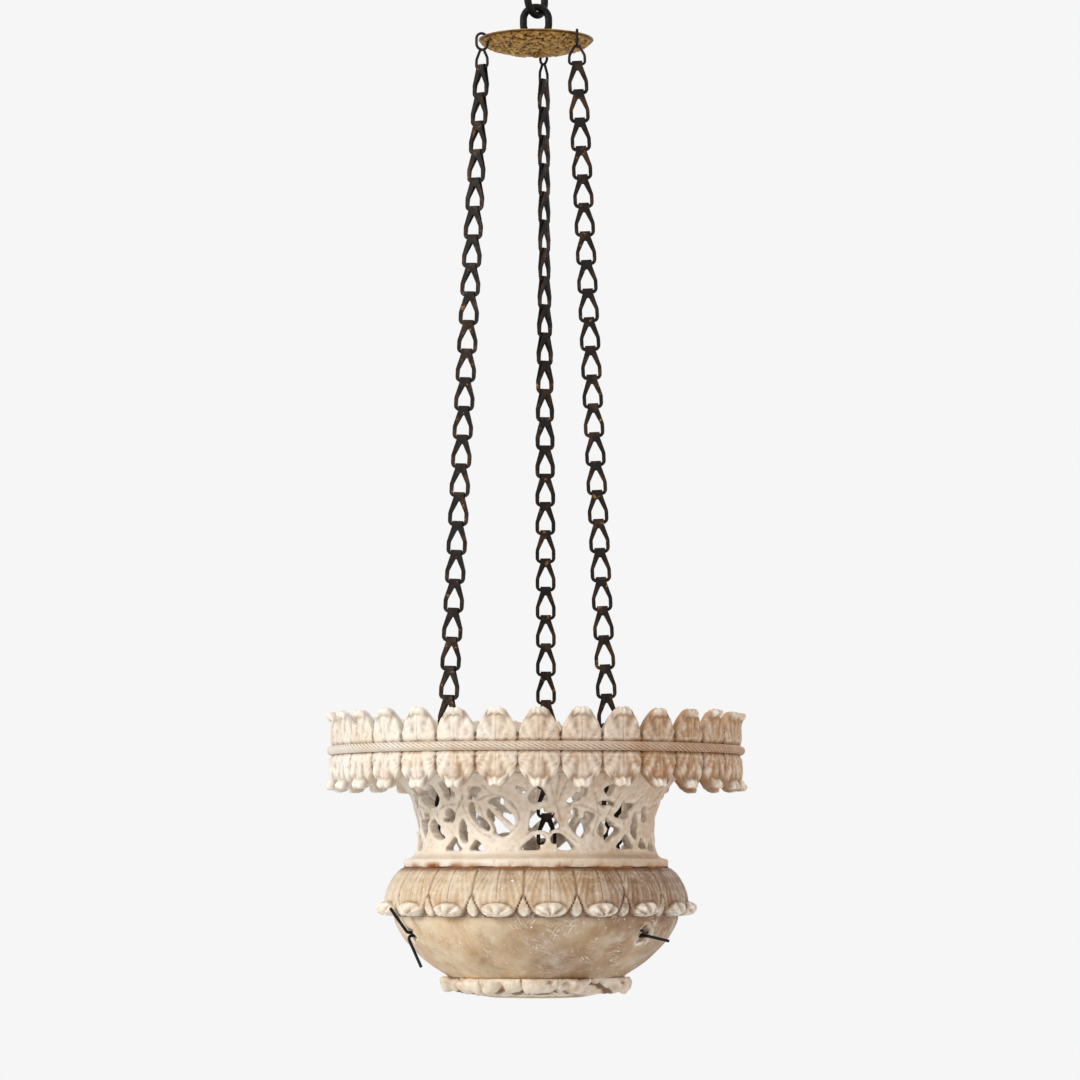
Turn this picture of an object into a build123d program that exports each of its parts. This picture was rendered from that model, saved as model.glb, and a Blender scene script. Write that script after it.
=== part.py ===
from build123d import *
from math import cos, radians, sin
import os

os.makedirs("parts", exist_ok=True)

# Alabaster bowl pendant: a carved bowl with a pierced collar and a crown of leaves, hung by three
# chains of folded strip links from a small gilt dish. All lengths are in millimetres.
# The origin is where a ceiling hook bears in the top link. +Z is up, +X is to the viewer's right
# and the viewer looks along +Y. Heights named "h" are above the seam between collar and bowl.

# ---- driving dimensions ----
seam_drop = 910.8            # from the hook's bearing point down to the seam

# top link and canopy ring
link_wire = 7.5
link_width = 40.0
link_height = 58.0
link_turn = 58.0             # the link's plane is turned this far from the ring's plane
ring_wire = 7.4
ring_width = 33.0
ring_height = 38.0
ring_seat = 0.5              # play between the link's lower bend and the ring's top bend
eye_seat = 0.3               # play between the ring's lower bend and the eye

# eye bolt, washer and finial
eye_wire = 4.5
eye_bore = 10.0
bolt_diameter = 6.0
bolt_collar_diameter = 13.0
bolt_collar_height = 3.8
bolt_collar_bite = 0.8       # how far the collar runs up round the eye
washer_diameter = 18.0
washer_thickness = 1.6
bolt_hole_clearance = 0.25
finial_diameter = 13.0
finial_height = 4.9
finial_tip_radius = 2.0
finial_thread_depth = 3.2

# canopy dish
canopy_radius = 58.4
canopy_depth = 13.6          # from the rim's top down to the underside of the dish's floor
canopy_knee_share = (0.85, 0.48)   # where the shallow floor turns up into the wall
canopy_wall_share = (0.952, 0.71)  # a point halfway up the wall
canopy_sheet = 1.5
rim_hole_inset = 5.6         # from the rim in to the middle of each hole
rim_hole_diameter = 5.4
rim_hole_azimuths = {"left": 201.4, "rear": 77.8, "right": -38.6}

# figure-eight hooks
hook_wire = 2.8
hook_upper_width = 14.6
hook_upper_height = 19.4
hook_lower_width = 19.0
hook_lower_height = 20.8
hook_waist_overlap = 2.6
hook_corner = 3.2            # bend at the ends of the lower loop's flat bottom
hook_rim_play = 1.0
hook_upper_azimuths = {"left": 201.4, "rear": 125.0, "right": -90.0}

# chain links, each a strip with two loops folded in half
links_per_chain = 30
strip_thickness = 1.1
fold_corner = 1.2            # rounding of the fold's two outer corners
fold_gap = 3.7               # inside the fold
bar_gap = 0.2                # between the two loops at their lower ends
parallel_ends = 7.5          # length at the lower end over which the two loops lie parallel
fold_bar_width = 10.5
fold_bar_height = 5.2
loop_width = 20.4
loop_strip = 3.7             # width of the strip round a loop
loop_apex_drop = 4.0         # from the fold bar down to the top of the hole
loop_widest_drop = 21.0      # from the fold down to where the loops are widest
link_play = 0.5              # lets a fold tilt by 4 degrees on the bar that it hangs from
chain_bottom_radius = 106.0
# direction of the links' width: at the hook until one link, settled from another link until a third
chain_twists = {
    "left": (-44.0, 0, -12.0, 9, 20),
    "rear": (60.0, 6, 2.0, 16, 22),
    "right": (0.0, 0, 0.0, 1, 21),
}
chain_bottom_azimuths = {"left": 202.0, "rear": 84.0, "right": -41.0}

# split pins through the bowl's wall
pin_wire = 3.0
pin_leg_play = 0.2
pin_eye_bore = 8.0
pin_hole_play = 0.3
pin_height = -65.0
pin_bar_play = 0.55          # between the eye and the last link
pin_wall_azimuths = {"left": 203.5, "rear": 86.0, "right": -38.0}
pin_bend_out = 5.5           # how far outside the wall the legs bend
pin_bend_radius = 3.2
# where the two legs end, from their bend: outwards, sideways and up
pin_leg_ends = {
    "left": ((17.0, -4.0, 24.0), (-13.0, 5.0, -31.0)),
    "rear": ((8.0, 17.0, 9.0), (-11.0, -4.0, -29.0)),
    "right": ((2.0, -19.5, 2.5), (13.0, 20.0, -5.0)),
}

# leaf crown
crown_outer_radius = 208.0
crown_wall = 13.5
crown_top = 154.5
crown_bottom = 76.7
crown_bore_radius = 128.0
crown_web_thickness = 13.0
leaf_count = 31
leaf_first_azimuth = -89.0
upper_notch_bottom = 130.0
upper_notch_gap = 23.5
lower_notch_top = 96.0
lower_notch_gap = 20.8
rope_height = 116.7
rope_diameter = 8.6
rope_proud = 1.0             # how far the rope stands out of the leaves

# pierced collar
collar_foot_radius = 131.5
collar_foot_height = 9.0
collar_neck_radius = 118.5
collar_top_radius = 142.0
collar_top = 92.0
collar_wall = 9.5
opening_groups = 8
opening_first_azimuth = -84.0
opening_corner = 1.8

# bowl
bowl_rim_radius = 134.0
bowl_shoulder_radius = 150.5
bowl_shoulder_height = -30.0
bowl_wall = 13.0
bowl_bottom = -108.0
bowl_foot_radius = 90.0
bowl_floor_radius = 62.0
bowl_floor_thickness = 12.0
cement_thickness = 0.8
lip_count = 18
lip_first_azimuth = -84.6
lip_width = 27.0
lip_reach = 11.5             # how far the curled tips stand out of the shoulder
lip_top = -32.0
lip_bottom = -47.0
lip_corner = 4.0

# foot rosette and its bolt
rosette_radius = 96.5
rosette_height = 20.3
rosette_face_radius = 47.0
rosette_leaf_count = 10
rosette_notch_depth = 10.0
rosette_notch_width = 22.0
foot_bolt_diameter = 8.0
foot_bolt_play = 0.4
foot_bolt_head_radius = 8.0
foot_bolt_head_height = 4.0
foot_bolt_recess = 6.0
floor_washer_radius = 13.0
floor_washer_thickness = 1.6
floor_nut_across_flats = 13.0
floor_nut_height = 6.5
bolt_end_proud = 2.0

# candle dish, candle and wick
dish_radius = 38.0
dish_skirt_radius = 26.0
dish_skirt_height = 14.0
dish_sheet = 1.4
dish_lip_height = 6.0
socket_height = 24.0
candle_radius = 11.5
candle_play = 0.35
candle_height = 88.0
wick_radius = 0.9
wick_height = 8.0
lift_seat = 0.3              # under what only stands in its place


# ---- helpers ----
def z_at(height):
    """Z of a height above the seam."""
    return height - seam_drop


def polar(radius, azimuth, height):
    """A point on a circle about the axis."""
    return Vector(radius * cos(radians(azimuth)), radius * sin(radians(azimuth)), z_at(height))


def radial_plane(azimuth):
    """A plane at the axis that faces outwards: x runs sideways, y is the height above the seam."""
    outwards = (cos(radians(azimuth)), sin(radians(azimuth)), 0)
    sideways = (-sin(radians(azimuth)), cos(radians(azimuth)), 0)
    return Plane(origin=(0, 0, z_at(0)), x_dir=sideways, z_dir=outwards)


def upright_plane(centre, azimuth):
    """A vertical plane through a point, whose x axis points to an azimuth."""
    across = (cos(radians(azimuth)), sin(radians(azimuth)), 0)
    facing = (sin(radians(azimuth)), -cos(radians(azimuth)), 0)
    return Plane(origin=centre, x_dir=across, z_dir=facing)


def oval_ring(plane, outer_width, outer_height, wire):
    """A closed oval ring of round wire about the plane's origin."""
    bend = (outer_width - wire) / 2
    straight = max((outer_height - outer_width) / 2, 0.01)
    with BuildPart() as ring:
        with BuildLine(plane) as path:
            Line((bend, -straight), (bend, straight))
            ThreePointArc((bend, straight), (0, straight + bend), (-bend, straight))
            Line((-bend, straight), (-bend, -straight))
            ThreePointArc((-bend, -straight), (0, -straight - bend), (bend, -straight))
        with BuildSketch(Plane(origin=path.line @ 0, z_dir=path.line % 0)):
            Circle(wire / 2)
        sweep()
    return ring.part


def turned(points):
    """A closed outline in radius and height, turned about the axis."""
    with BuildPart() as body:
        with BuildSketch(Plane.XZ):
            with BuildLine():
                Polyline(*[(radius, z_at(height)) for radius, height in points], close=True)
            make_face()
        revolve(axis=Axis.Z)
    return body.part


def rod(start, end, radius):
    """A round rod between two points."""
    with BuildPart() as bar:
        with BuildSketch(Plane(origin=start, z_dir=end - start)):
            Circle(radius)
        extrude(amount=(end - start).length)
    return bar.part


def keep(piece, name):
    """Label a finished piece and write it."""
    piece.part.label = name
    export_step(piece.part, "parts/" + name + ".step")


sides = ("left", "rear", "right")

# ---- top link ----
link_centre = link_wire - link_height / 2
with BuildPart() as top_link:
    add(oval_ring(upright_plane((0, 0, link_centre), link_turn), link_width, link_height, link_wire))
keep(top_link, "top_link")

# ---- canopy ring, hanging on the link's lower bend ----
link_lower_bend = link_centre - link_height / 2 + link_wire / 2
ring_top = link_lower_bend + link_wire / 2 + ring_seat + ring_wire
ring_centre = ring_top - ring_height / 2
with BuildPart() as canopy_ring:
    add(oval_ring(upright_plane((0, 0, ring_centre), 0), ring_width, ring_height, ring_wire))
keep(canopy_ring, "canopy_ring")

# ---- eye bolt, hanging on the ring's lower bend ----
ring_lower_bend = ring_top - ring_height + ring_wire / 2
eye_centre = ring_lower_bend + ring_wire / 2 + eye_seat - eye_bore / 2
eye_bottom = eye_centre - eye_bore / 2 - eye_wire
collar_under = eye_bottom + bolt_collar_bite - bolt_collar_height
dish_floor_top = collar_under - washer_thickness
dish_under = dish_floor_top - canopy_sheet
bolt_end = dish_under - finial_thread_depth
with BuildPart() as canopy_eye_bolt:
    with Locations(upright_plane((0, 0, eye_centre), 90)):
        Torus((eye_bore + eye_wire) / 2, eye_wire / 2)
    with BuildSketch(Plane.XY.offset(collar_under)):
        Circle(bolt_collar_diameter / 2)
    extrude(amount=bolt_collar_height)
    with BuildSketch(Plane.XY.offset(bolt_end)):
        Circle(bolt_diameter / 2)
    extrude(until=Until.NEXT)
keep(canopy_eye_bolt, "canopy_eye_bolt")

with BuildPart() as canopy_washer:
    with BuildSketch(Plane.XY.offset(dish_floor_top)):
        Circle(washer_diameter / 2)
        Circle(bolt_diameter / 2 + bolt_hole_clearance, mode=Mode.SUBTRACT)
    extrude(amount=washer_thickness)
keep(canopy_washer, "canopy_washer")

# ---- canopy dish ----
rim_top = dish_under + canopy_depth
knee = (canopy_radius * canopy_knee_share[0], dish_under + canopy_depth * canopy_knee_share[1])
wall_point = (canopy_radius * canopy_wall_share[0], dish_under + canopy_depth * canopy_wall_share[1])
inner_knee = (knee[0] - 0.45 * canopy_sheet, knee[1] + 0.9 * canopy_sheet)
rim_hole_circle = canopy_radius - rim_hole_inset
rim_holes = {}
for side in sides:
    turn = radians(rim_hole_azimuths[side])
    rim_holes[side] = Vector(rim_hole_circle * cos(turn), rim_hole_circle * sin(turn), rim_top)
with BuildPart() as canopy_shell:
    with BuildSketch(Plane.XZ):
        with BuildLine():
            Line((0, dish_under), (finial_diameter / 2, dish_under))
            TangentArc((finial_diameter / 2, dish_under), knee, tangent=(1, 0))
            ThreePointArc(knee, wall_point, (canopy_radius, rim_top))
            Line((canopy_radius, rim_top), (canopy_radius - canopy_sheet, rim_top))
            ThreePointArc((canopy_radius - canopy_sheet, rim_top),
                          (wall_point[0] - 0.8 * canopy_sheet, wall_point[1] + 0.6 * canopy_sheet),
                          inner_knee)
            TangentArc((washer_diameter / 2, dish_floor_top), inner_knee, tangent=(1, 0))
            Line((washer_diameter / 2, dish_floor_top), (0, dish_floor_top))
            Line((0, dish_floor_top), (0, dish_under))
        make_face()
    revolve(axis=Axis.Z)
    with BuildSketch(Plane.XY.offset(dish_under - 1)):
        Circle(bolt_diameter / 2 + bolt_hole_clearance)
        with Locations(*[(hole.X, hole.Y) for hole in rim_holes.values()]):
            Circle(rim_hole_diameter / 2)
    extrude(amount=canopy_depth + 2, mode=Mode.SUBTRACT)
keep(canopy_shell, "canopy_shell")

# ---- finial, the nut of the eye bolt ----
finial_tip = dish_under - finial_height
with BuildPart() as canopy_finial:
    with BuildSketch(Plane.XZ):
        with BuildLine():
            Line((0, finial_tip), (0, dish_under))
            Line((0, dish_under), (finial_diameter / 2, dish_under))
            ThreePointArc((finial_diameter / 2, dish_under),
                          (0.62 * finial_diameter / 2, dish_under - 0.55 * finial_height),
                          (finial_tip_radius, finial_tip))
            Line((finial_tip_radius, finial_tip), (0, finial_tip))
        make_face()
    revolve(axis=Axis.Z)
    with BuildSketch(Plane.XY.offset(dish_under)):
        Circle(bolt_diameter / 2 + 0.05)
    extrude(amount=-finial_thread_depth, mode=Mode.SUBTRACT)
keep(canopy_finial, "canopy_finial")

# ---- figure-eight hooks ----
hook_reach = (hook_upper_width - hook_wire) / 2
hook_top = rim_top + hook_rim_play + hook_wire
hook_upper_centre = hook_top - hook_upper_height / 2
hook_lower_top = hook_top - hook_upper_height + hook_waist_overlap
hook_lower_wire = hook_lower_top - hook_lower_height + hook_wire / 2
hook_places = {}
for side in sides:
    turn = radians(hook_upper_azimuths[side])
    hook_places[side] = rim_holes[side] + Vector(hook_reach * cos(turn), hook_reach * sin(turn), 0)


def pear_ring(plane, width, height, wire, corner):
    """A closed pear-shaped ring of round wire: the origin is in the middle of its flat bottom."""
    half = (width - wire) / 2
    tall = height - wire
    corners = [(-half, 0), (half, 0), (0.94 * half, 0.5 * tall), (0.3 * half, tall),
               (-0.3 * half, tall), (-0.94 * half, 0.5 * tall)]
    bends = [corner, corner, 0.8 * half, 0.26 * half, 0.26 * half, 0.8 * half]
    with BuildPart() as ring:
        with BuildLine(plane) as path:
            FilletPolyline(*corners, radius=bends, close=True)
        start = path.edges().filter_by(GeomType.LINE).sort_by(Axis.Z)[0]
        with BuildSketch(Plane(origin=start @ 0.5, z_dir=start % 0.5)):
            Circle(wire / 2)
        sweep(path=path.wire())
    return ring.part


def figure_eight_hook(side):
    """The upper loop goes through the rim's hole and the lower loop carries the first link."""
    place = hook_places[side]
    upper = Vector(place.X, place.Y, hook_upper_centre)
    lower = Vector(place.X, place.Y, hook_lower_wire)
    with BuildPart() as hook:
        add(oval_ring(upright_plane(upper, hook_upper_azimuths[side]),
                      hook_upper_width, hook_upper_height, hook_wire))
        add(pear_ring(upright_plane(lower, chain_twists[side][0]),
                      hook_lower_width, hook_lower_height, hook_wire, hook_corner))
    return hook


for side in sides:
    keep(figure_eight_hook(side), side + "_hook")

# ---- chain links ----
first_fold = hook_lower_wire + hook_wire / 2 + link_play + strip_thickness
eye_ring_radius = (pin_eye_bore + pin_wire) / 2
last_bar = z_at(pin_height) + pin_eye_bore / 2 - pin_bar_play
chain_starts = {}
chain_ends = {}
for side in sides:
    chain_starts[side] = Vector(hook_places[side].X, hook_places[side].Y, first_fold)
    foot = polar(chain_bottom_radius, chain_bottom_azimuths[side], 0)
    chain_ends[side] = Vector(foot.X, foot.Y, last_bar)
shortest_chain = min((chain_starts[side] - chain_ends[side]).length for side in sides)
link_pitch = (shortest_chain - strip_thickness - link_play) / links_per_chain
hole_bottom = link_pitch + strip_thickness + link_play
link_length = hole_bottom + loop_strip
print("link pitch", round(link_pitch, 3), "link length", round(link_length, 2))


def strip_link():
    """One link: fold on top at the origin, both loops hanging down."""
    outer = fold_gap / 2 + strip_thickness
    inner = fold_gap / 2
    bar_outer = bar_gap / 2 + strip_thickness
    bar_inner = bar_gap / 2
    bend = -(link_length - parallel_ends)
    half_bar = fold_bar_width / 2
    half_loop = loop_width / 2
    half_hole = half_loop - loop_strip
    leg = [(bar_outer, -link_length), (bar_outer, bend), (outer, -fold_bar_height), (outer, 0)]
    inside = [(inner, -strip_thickness), (inner, -fold_bar_height), (bar_inner, bend),
              (bar_inner, -link_length)]
    with BuildPart() as link:
        with BuildSketch(Plane.YZ):
            with BuildLine():
                Polyline(*leg, *[(-y, z) for y, z in reversed(leg)],
                         *[(-y, z) for y, z in reversed(inside)], *inside, close=True)
            make_face()
            fillet(vertices().sort_by(Axis.Y)[-2:], radius=fold_corner)
        extrude(amount=half_loop, both=True)
        with BuildSketch(Plane.XZ) as outline:
            with BuildLine():
                FilletPolyline((half_bar, 1), (half_bar, -fold_bar_height), (half_loop, -loop_widest_drop),
                               (half_loop, -link_length), (-half_loop, -link_length),
                               (-half_loop, -loop_widest_drop), (-half_bar, -fold_bar_height),
                               (-half_bar, 1), radius=[2.5, 9, 6, 6, 9, 2.5])
                Line((-half_bar, 1), (half_bar, 1))
            make_face()
        extrude(amount=2 * fold_gap, both=True, mode=Mode.INTERSECT)
        with BuildSketch(Plane.XZ) as hole:
            with BuildLine():
                FilletPolyline((0.9, -fold_bar_height - loop_apex_drop), (half_hole, -loop_widest_drop),
                               (half_hole, -hole_bottom), (-half_hole, -hole_bottom),
                               (-half_hole, -loop_widest_drop), (-0.9, -fold_bar_height - loop_apex_drop),
                               radius=[0.8, 6, 1.1, 1.1, 6, 0.8], close=True)
            make_face()
        extrude(amount=2 * fold_gap, both=True, mode=Mode.SUBTRACT)
    return link.part


def link_twist(side, number):
    """Direction of a link's width, from the hook down to the split pin."""
    top, start, settled, settle, release = chain_twists[side]
    bottom = chain_bottom_azimuths[side] + 90
    while bottom > 90:
        bottom -= 180
    if number < settle:
        share = max(0, number - start) / (settle - start)
        return top + (settled - top) * share
    if number < release:
        return settled
    return settled + (bottom - settled) * (number - release) / (links_per_chain - 1 - release)


def link_places(side, first, last):
    """Places of the links from one number up to another along the chain's line."""
    up = (chain_starts[side] - chain_ends[side]).normalized()
    places = []
    for number in range(first, last):
        turn = radians(link_twist(side, number))
        origin = chain_starts[side] - up * (number * link_pitch)
        places.append(Plane(origin=origin, x_dir=(cos(turn), sin(turn), 0), z_dir=up).location)
    return places


one_link = strip_link()
for side in sides:
    links_in_body = links_per_chain - 1 if side == "left" else links_per_chain
    with BuildPart() as chain:
        with Locations(*link_places(side, 0, links_in_body)):
            add(one_link)
    keep(chain, side + "_chain_links")
with BuildPart() as left_end_link:
    with Locations(*link_places("left", links_per_chain - 1, links_per_chain)):
        add(one_link)
keep(left_end_link, "left_end_link")

# ---- split pins ----
leg_offset = (pin_wire + pin_leg_play) / 2
pin_hole_radius = leg_offset + pin_wire / 2 + pin_hole_play
pin_eyes = {}
pin_planes = {}
pin_lengths = {}
for side in sides:
    up = (chain_starts[side] - chain_ends[side]).normalized()
    end = chain_starts[side] - up * shortest_chain
    eye = Vector(end.X, end.Y, end.Z + pin_bar_play - pin_eye_bore / 2)
    wall = polar(bowl_rim_radius - 1, pin_wall_azimuths[side], pin_height)
    wall = Vector(wall.X, wall.Y, eye.Z)
    pin_eyes[side] = eye
    pin_lengths[side] = (wall - eye).length
    outwards = (wall - eye).normalized()
    # x runs outwards along the pin and y runs up
    pin_planes[side] = Plane(origin=eye, x_dir=outwards, z_dir=Vector(outwards.Y, -outwards.X, 0))


def split_pin(side):
    """An eye of round wire whose two legs go through the wall and are bent over outside."""
    wall = pin_lengths[side]
    with BuildPart() as whole:
        # the torus's seam is turned away from the legs
        Torus(eye_ring_radius, pin_wire / 2, rotation=(0, 0, 180))
        for number, end in enumerate(pin_leg_ends[side]):
            offset = leg_offset if number == 0 else -leg_offset
            start = Vector(eye_ring_radius - pin_wire / 3, offset, 0)
            bend = Vector(wall + pin_bend_out, offset, 0)
            tip = bend + Vector(end[0], end[2], -end[1])
            with BuildLine() as path:
                FilletPolyline(start, bend, tip, radius=pin_bend_radius)
            with BuildSketch(Plane(origin=start, z_dir=(1, 0, 0))):
                Circle(pin_wire / 2)
            sweep(path=path.wire())
    return whole.part


for side in sides:
    with BuildPart() as split_pin_in_place:
        with Locations(pin_planes[side]):
            add(split_pin(side))
    keep(split_pin_in_place, side + "_split_pin")


# ---- leaf crown ----
def radial_tool(outline, near, far, corner=0):
    """A prism cut outwards from the axis, its outline in sideways distance and height."""
    with BuildPart() as tool:
        with BuildSketch(radial_plane(0).offset(near)):
            with BuildLine():
                Polyline(*outline, close=True)
            make_face()
            if corner > 0:
                fillet(vertices(), radius=corner)
        extrude(amount=far - near)
    return tool.part


def tool_ring(tool, count, first_azimuth):
    """Copies of a prism spaced evenly round the axis."""
    with BuildPart() as ring:
        with PolarLocations(0, count, start_angle=first_azimuth):
            add(tool)
    return ring.part


crown_outside = [
    (crown_outer_radius - 4, crown_bottom), (crown_outer_radius - 1, crown_bottom + 3),
    (crown_outer_radius - 0.5, crown_bottom + 7.5), (crown_outer_radius - 5, crown_bottom + 13),
    (crown_outer_radius, crown_bottom + 27), (crown_outer_radius + 0.5, rope_height - 4),
    (crown_outer_radius + 0.5, rope_height + 4), (crown_outer_radius, rope_height + 13),
    (crown_outer_radius - 3, rope_height + 25), (crown_outer_radius - 1.5, crown_top - 5),
    (crown_outer_radius - 2, crown_top),
]
crown_inside_radius = crown_outer_radius - crown_wall
web_outer_height = crown_bottom + 26
crown_inside = [
    (crown_outer_radius - 8, crown_top + 0.5), (crown_inside_radius - 1, crown_top - 14),
    (crown_inside_radius - 1, web_outer_height + crown_web_thickness),
    (crown_bore_radius, collar_top + crown_web_thickness), (crown_bore_radius, collar_top),
    (collar_top_radius + 6, collar_top), (crown_inside_radius - 6, web_outer_height),
    (crown_inside_radius, web_outer_height - 3), (crown_inside_radius, crown_bottom + 11),
    (crown_outer_radius - 9, crown_bottom + 1),
]
half_leaf = 180 / leaf_count
upper_notch = [(-upper_notch_gap / 2, crown_top + 2), (0, upper_notch_bottom),
               (upper_notch_gap / 2, crown_top + 2)]
lower_notch = [(-lower_notch_gap / 2, crown_bottom - 1), (lower_notch_gap / 2, crown_bottom - 1),
               (0, lower_notch_top)]
notch_reach = (crown_inside_radius - 12, crown_outer_radius + 12)
rope_radius = crown_outer_radius + rope_proud - rope_diameter / 2
with BuildPart() as leaf_crown:
    add(turned(crown_outside + crown_inside))
    add(tool_ring(radial_tool(upper_notch, *notch_reach), leaf_count, leaf_first_azimuth + half_leaf),
        mode=Mode.SUBTRACT)
    add(tool_ring(radial_tool(lower_notch, *notch_reach), leaf_count, leaf_first_azimuth + half_leaf),
        mode=Mode.SUBTRACT)
    with BuildSketch(Plane.XZ):
        with Locations((rope_radius, z_at(rope_height))):
            Circle(rope_diameter / 2)
    revolve(axis=Axis.Z)
keep(leaf_crown, "leaf_crown")

# ---- pierced collar ----
neck_low = collar_foot_height + 11
neck_high = collar_top - 40
collar_bore_radius = collar_neck_radius - collar_wall
with BuildPart() as pierced_collar:
    with BuildSketch(Plane.XZ):
        with BuildLine():
            Line((collar_bore_radius, z_at(cement_thickness)), (collar_foot_radius, z_at(cement_thickness)))
            Line((collar_foot_radius, z_at(cement_thickness)), (collar_foot_radius, z_at(collar_foot_height)))
            Line((collar_foot_radius, z_at(collar_foot_height)),
                 (collar_neck_radius + 2, z_at(collar_foot_height + 6)))
            ThreePointArc((collar_neck_radius + 2, z_at(collar_foot_height + 6)),
                          (collar_neck_radius, z_at((neck_low + neck_high) / 2)),
                          (collar_neck_radius + 2.5, z_at(neck_high)))
            ThreePointArc((collar_neck_radius + 2.5, z_at(neck_high)),
                          (collar_neck_radius + 8.5, z_at(collar_top - 20)),
                          (collar_top_radius, z_at(collar_top)))
            Line((collar_top_radius, z_at(collar_top)), (collar_top_radius - 12, z_at(collar_top)))
            ThreePointArc((collar_top_radius - 12, z_at(collar_top)),
                          (collar_bore_radius + 7.5, z_at(collar_top - 20)),
                          (collar_bore_radius + 1, z_at(neck_high)))
            Line((collar_bore_radius + 1, z_at(neck_high)), (collar_bore_radius, z_at(neck_low)))
            Line((collar_bore_radius, z_at(neck_low)), (collar_bore_radius, z_at(cement_thickness)))
        make_face()
    revolve(axis=Axis.Z)
    group_angle = 360 / opening_groups
    # outlines in sideways distance and height, with the turn from the middle of the group
    openings = [
        (-7.6, [(-11, 18), (11, 18), (5, 31), (-2, 33)]),
        (7.6, [(-11, 18), (11, 18), (2, 33), (-5, 31)]),
        (0, [(-5, 39), (5, 39), (11, 52), (5, 59), (-5, 59), (-11, 52)]),
        (0, [(0, 63), (8.5, 70), (6, 80), (-6, 80), (-8.5, 70)]),
        (group_angle / 2 - 5.6, [(-3, 34), (7, 31), (8, 46), (1, 62), (-6, 65), (-9, 48)]),
        (group_angle / 2 + 5.6, [(3, 34), (9, 48), (6, 65), (-1, 62), (-8, 46), (-7, 31)]),
        (group_angle / 2, [(0, 68), (6, 74), (4, 83), (-4, 83), (-6, 74)]),
    ]
    for turn, outline in openings:
        tool = radial_tool(outline, collar_bore_radius - 15, collar_top_radius + 10, opening_corner)
        add(tool_ring(tool, opening_groups, opening_first_azimuth + turn), mode=Mode.SUBTRACT)
keep(pierced_collar, "pierced_collar")

# ---- cement between collar and bowl ----
bowl_mouth_radius = bowl_rim_radius - bowl_wall
with BuildPart() as seam_cement:
    with BuildSketch(Plane.XY.offset(z_at(0))):
        Circle(collar_foot_radius)
        Circle(bowl_mouth_radius, mode=Mode.SUBTRACT)
    extrude(amount=cement_thickness)
keep(seam_cement, "seam_cement")

# ---- bowl ----
lip_radius = bowl_shoulder_radius + lip_reach
under_lip = (bowl_shoulder_radius - 8, lip_bottom - 1)
belly = (0.862 * bowl_shoulder_radius, bowl_bottom + 36)
bowl_floor = bowl_bottom + bowl_floor_thickness
lip_section = [
    (bowl_shoulder_radius - 4, lip_top + 6), (bowl_shoulder_radius + 4, lip_top + 2),
    (lip_radius - 1, lip_top - 1), (lip_radius, lip_top - 7), (lip_radius - 3, lip_bottom + 1),
    (lip_radius - 8, lip_bottom), (bowl_shoulder_radius - 9, lip_bottom + 5),
]
lip_outline = [(-0.36 * lip_width, lip_top + 12), (-lip_width / 2, lip_bottom + 8),
               (-0.2 * lip_width, lip_bottom - 1), (0.2 * lip_width, lip_bottom - 1),
               (lip_width / 2, lip_bottom + 8), (0.36 * lip_width, lip_top + 12)]
with BuildPart() as lip_tabs:
    add(turned(lip_section))
    add(tool_ring(radial_tool(lip_outline, bowl_shoulder_radius - 20, lip_radius + 10, lip_corner),
                  lip_count, lip_first_azimuth), mode=Mode.INTERSECT)
with BuildPart() as bowl:
    with BuildSketch(Plane.XZ):
        with BuildLine():
            Line((bowl_mouth_radius, z_at(0)), (bowl_rim_radius, z_at(0)))
            ThreePointArc((bowl_rim_radius, z_at(0)),
                          (bowl_shoulder_radius - 5.2, z_at(0.45 * bowl_shoulder_height)),
                          (bowl_shoulder_radius, z_at(bowl_shoulder_height)))
            Line((bowl_shoulder_radius, z_at(bowl_shoulder_height)), (under_lip[0], z_at(under_lip[1])))
            ThreePointArc((under_lip[0], z_at(under_lip[1])), (belly[0], z_at(belly[1])),
                          (bowl_foot_radius, z_at(bowl_bottom)))
            Line((bowl_foot_radius, z_at(bowl_bottom)), (0, z_at(bowl_bottom)))
            Line((0, z_at(bowl_bottom)), (0, z_at(bowl_floor)))
            Line((0, z_at(bowl_floor)), (bowl_floor_radius, z_at(bowl_floor)))
            ThreePointArc((bowl_floor_radius, z_at(bowl_floor)),
                          (belly[0] - bowl_wall, z_at(belly[1] + 2)),
                          (under_lip[0] - bowl_wall, z_at(under_lip[1])))
            Line((under_lip[0] - bowl_wall, z_at(under_lip[1])),
                 (bowl_shoulder_radius - bowl_wall - 3.5, z_at(0.55 * bowl_shoulder_height)))
            Line((bowl_shoulder_radius - bowl_wall - 3.5, z_at(0.55 * bowl_shoulder_height)),
                 (bowl_mouth_radius, z_at(0)))
        make_face()
    revolve(axis=Axis.Z)
    add(lip_tabs.part)
    with BuildSketch(Plane.XY.offset(z_at(bowl_bottom))):
        Circle(foot_bolt_diameter / 2 + foot_bolt_play)
    extrude(amount=bowl_floor_thickness, mode=Mode.SUBTRACT)
    for side in sides:
        inner = pin_planes[side].from_local_coords(Vector(pin_wire * 2.5, 0, 0))
        outer = pin_planes[side].from_local_coords(Vector(pin_lengths[side] + 25, 0, 0))
        add(rod(inner, outer, pin_hole_radius), mode=Mode.SUBTRACT)
keep(bowl, "bowl")

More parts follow.
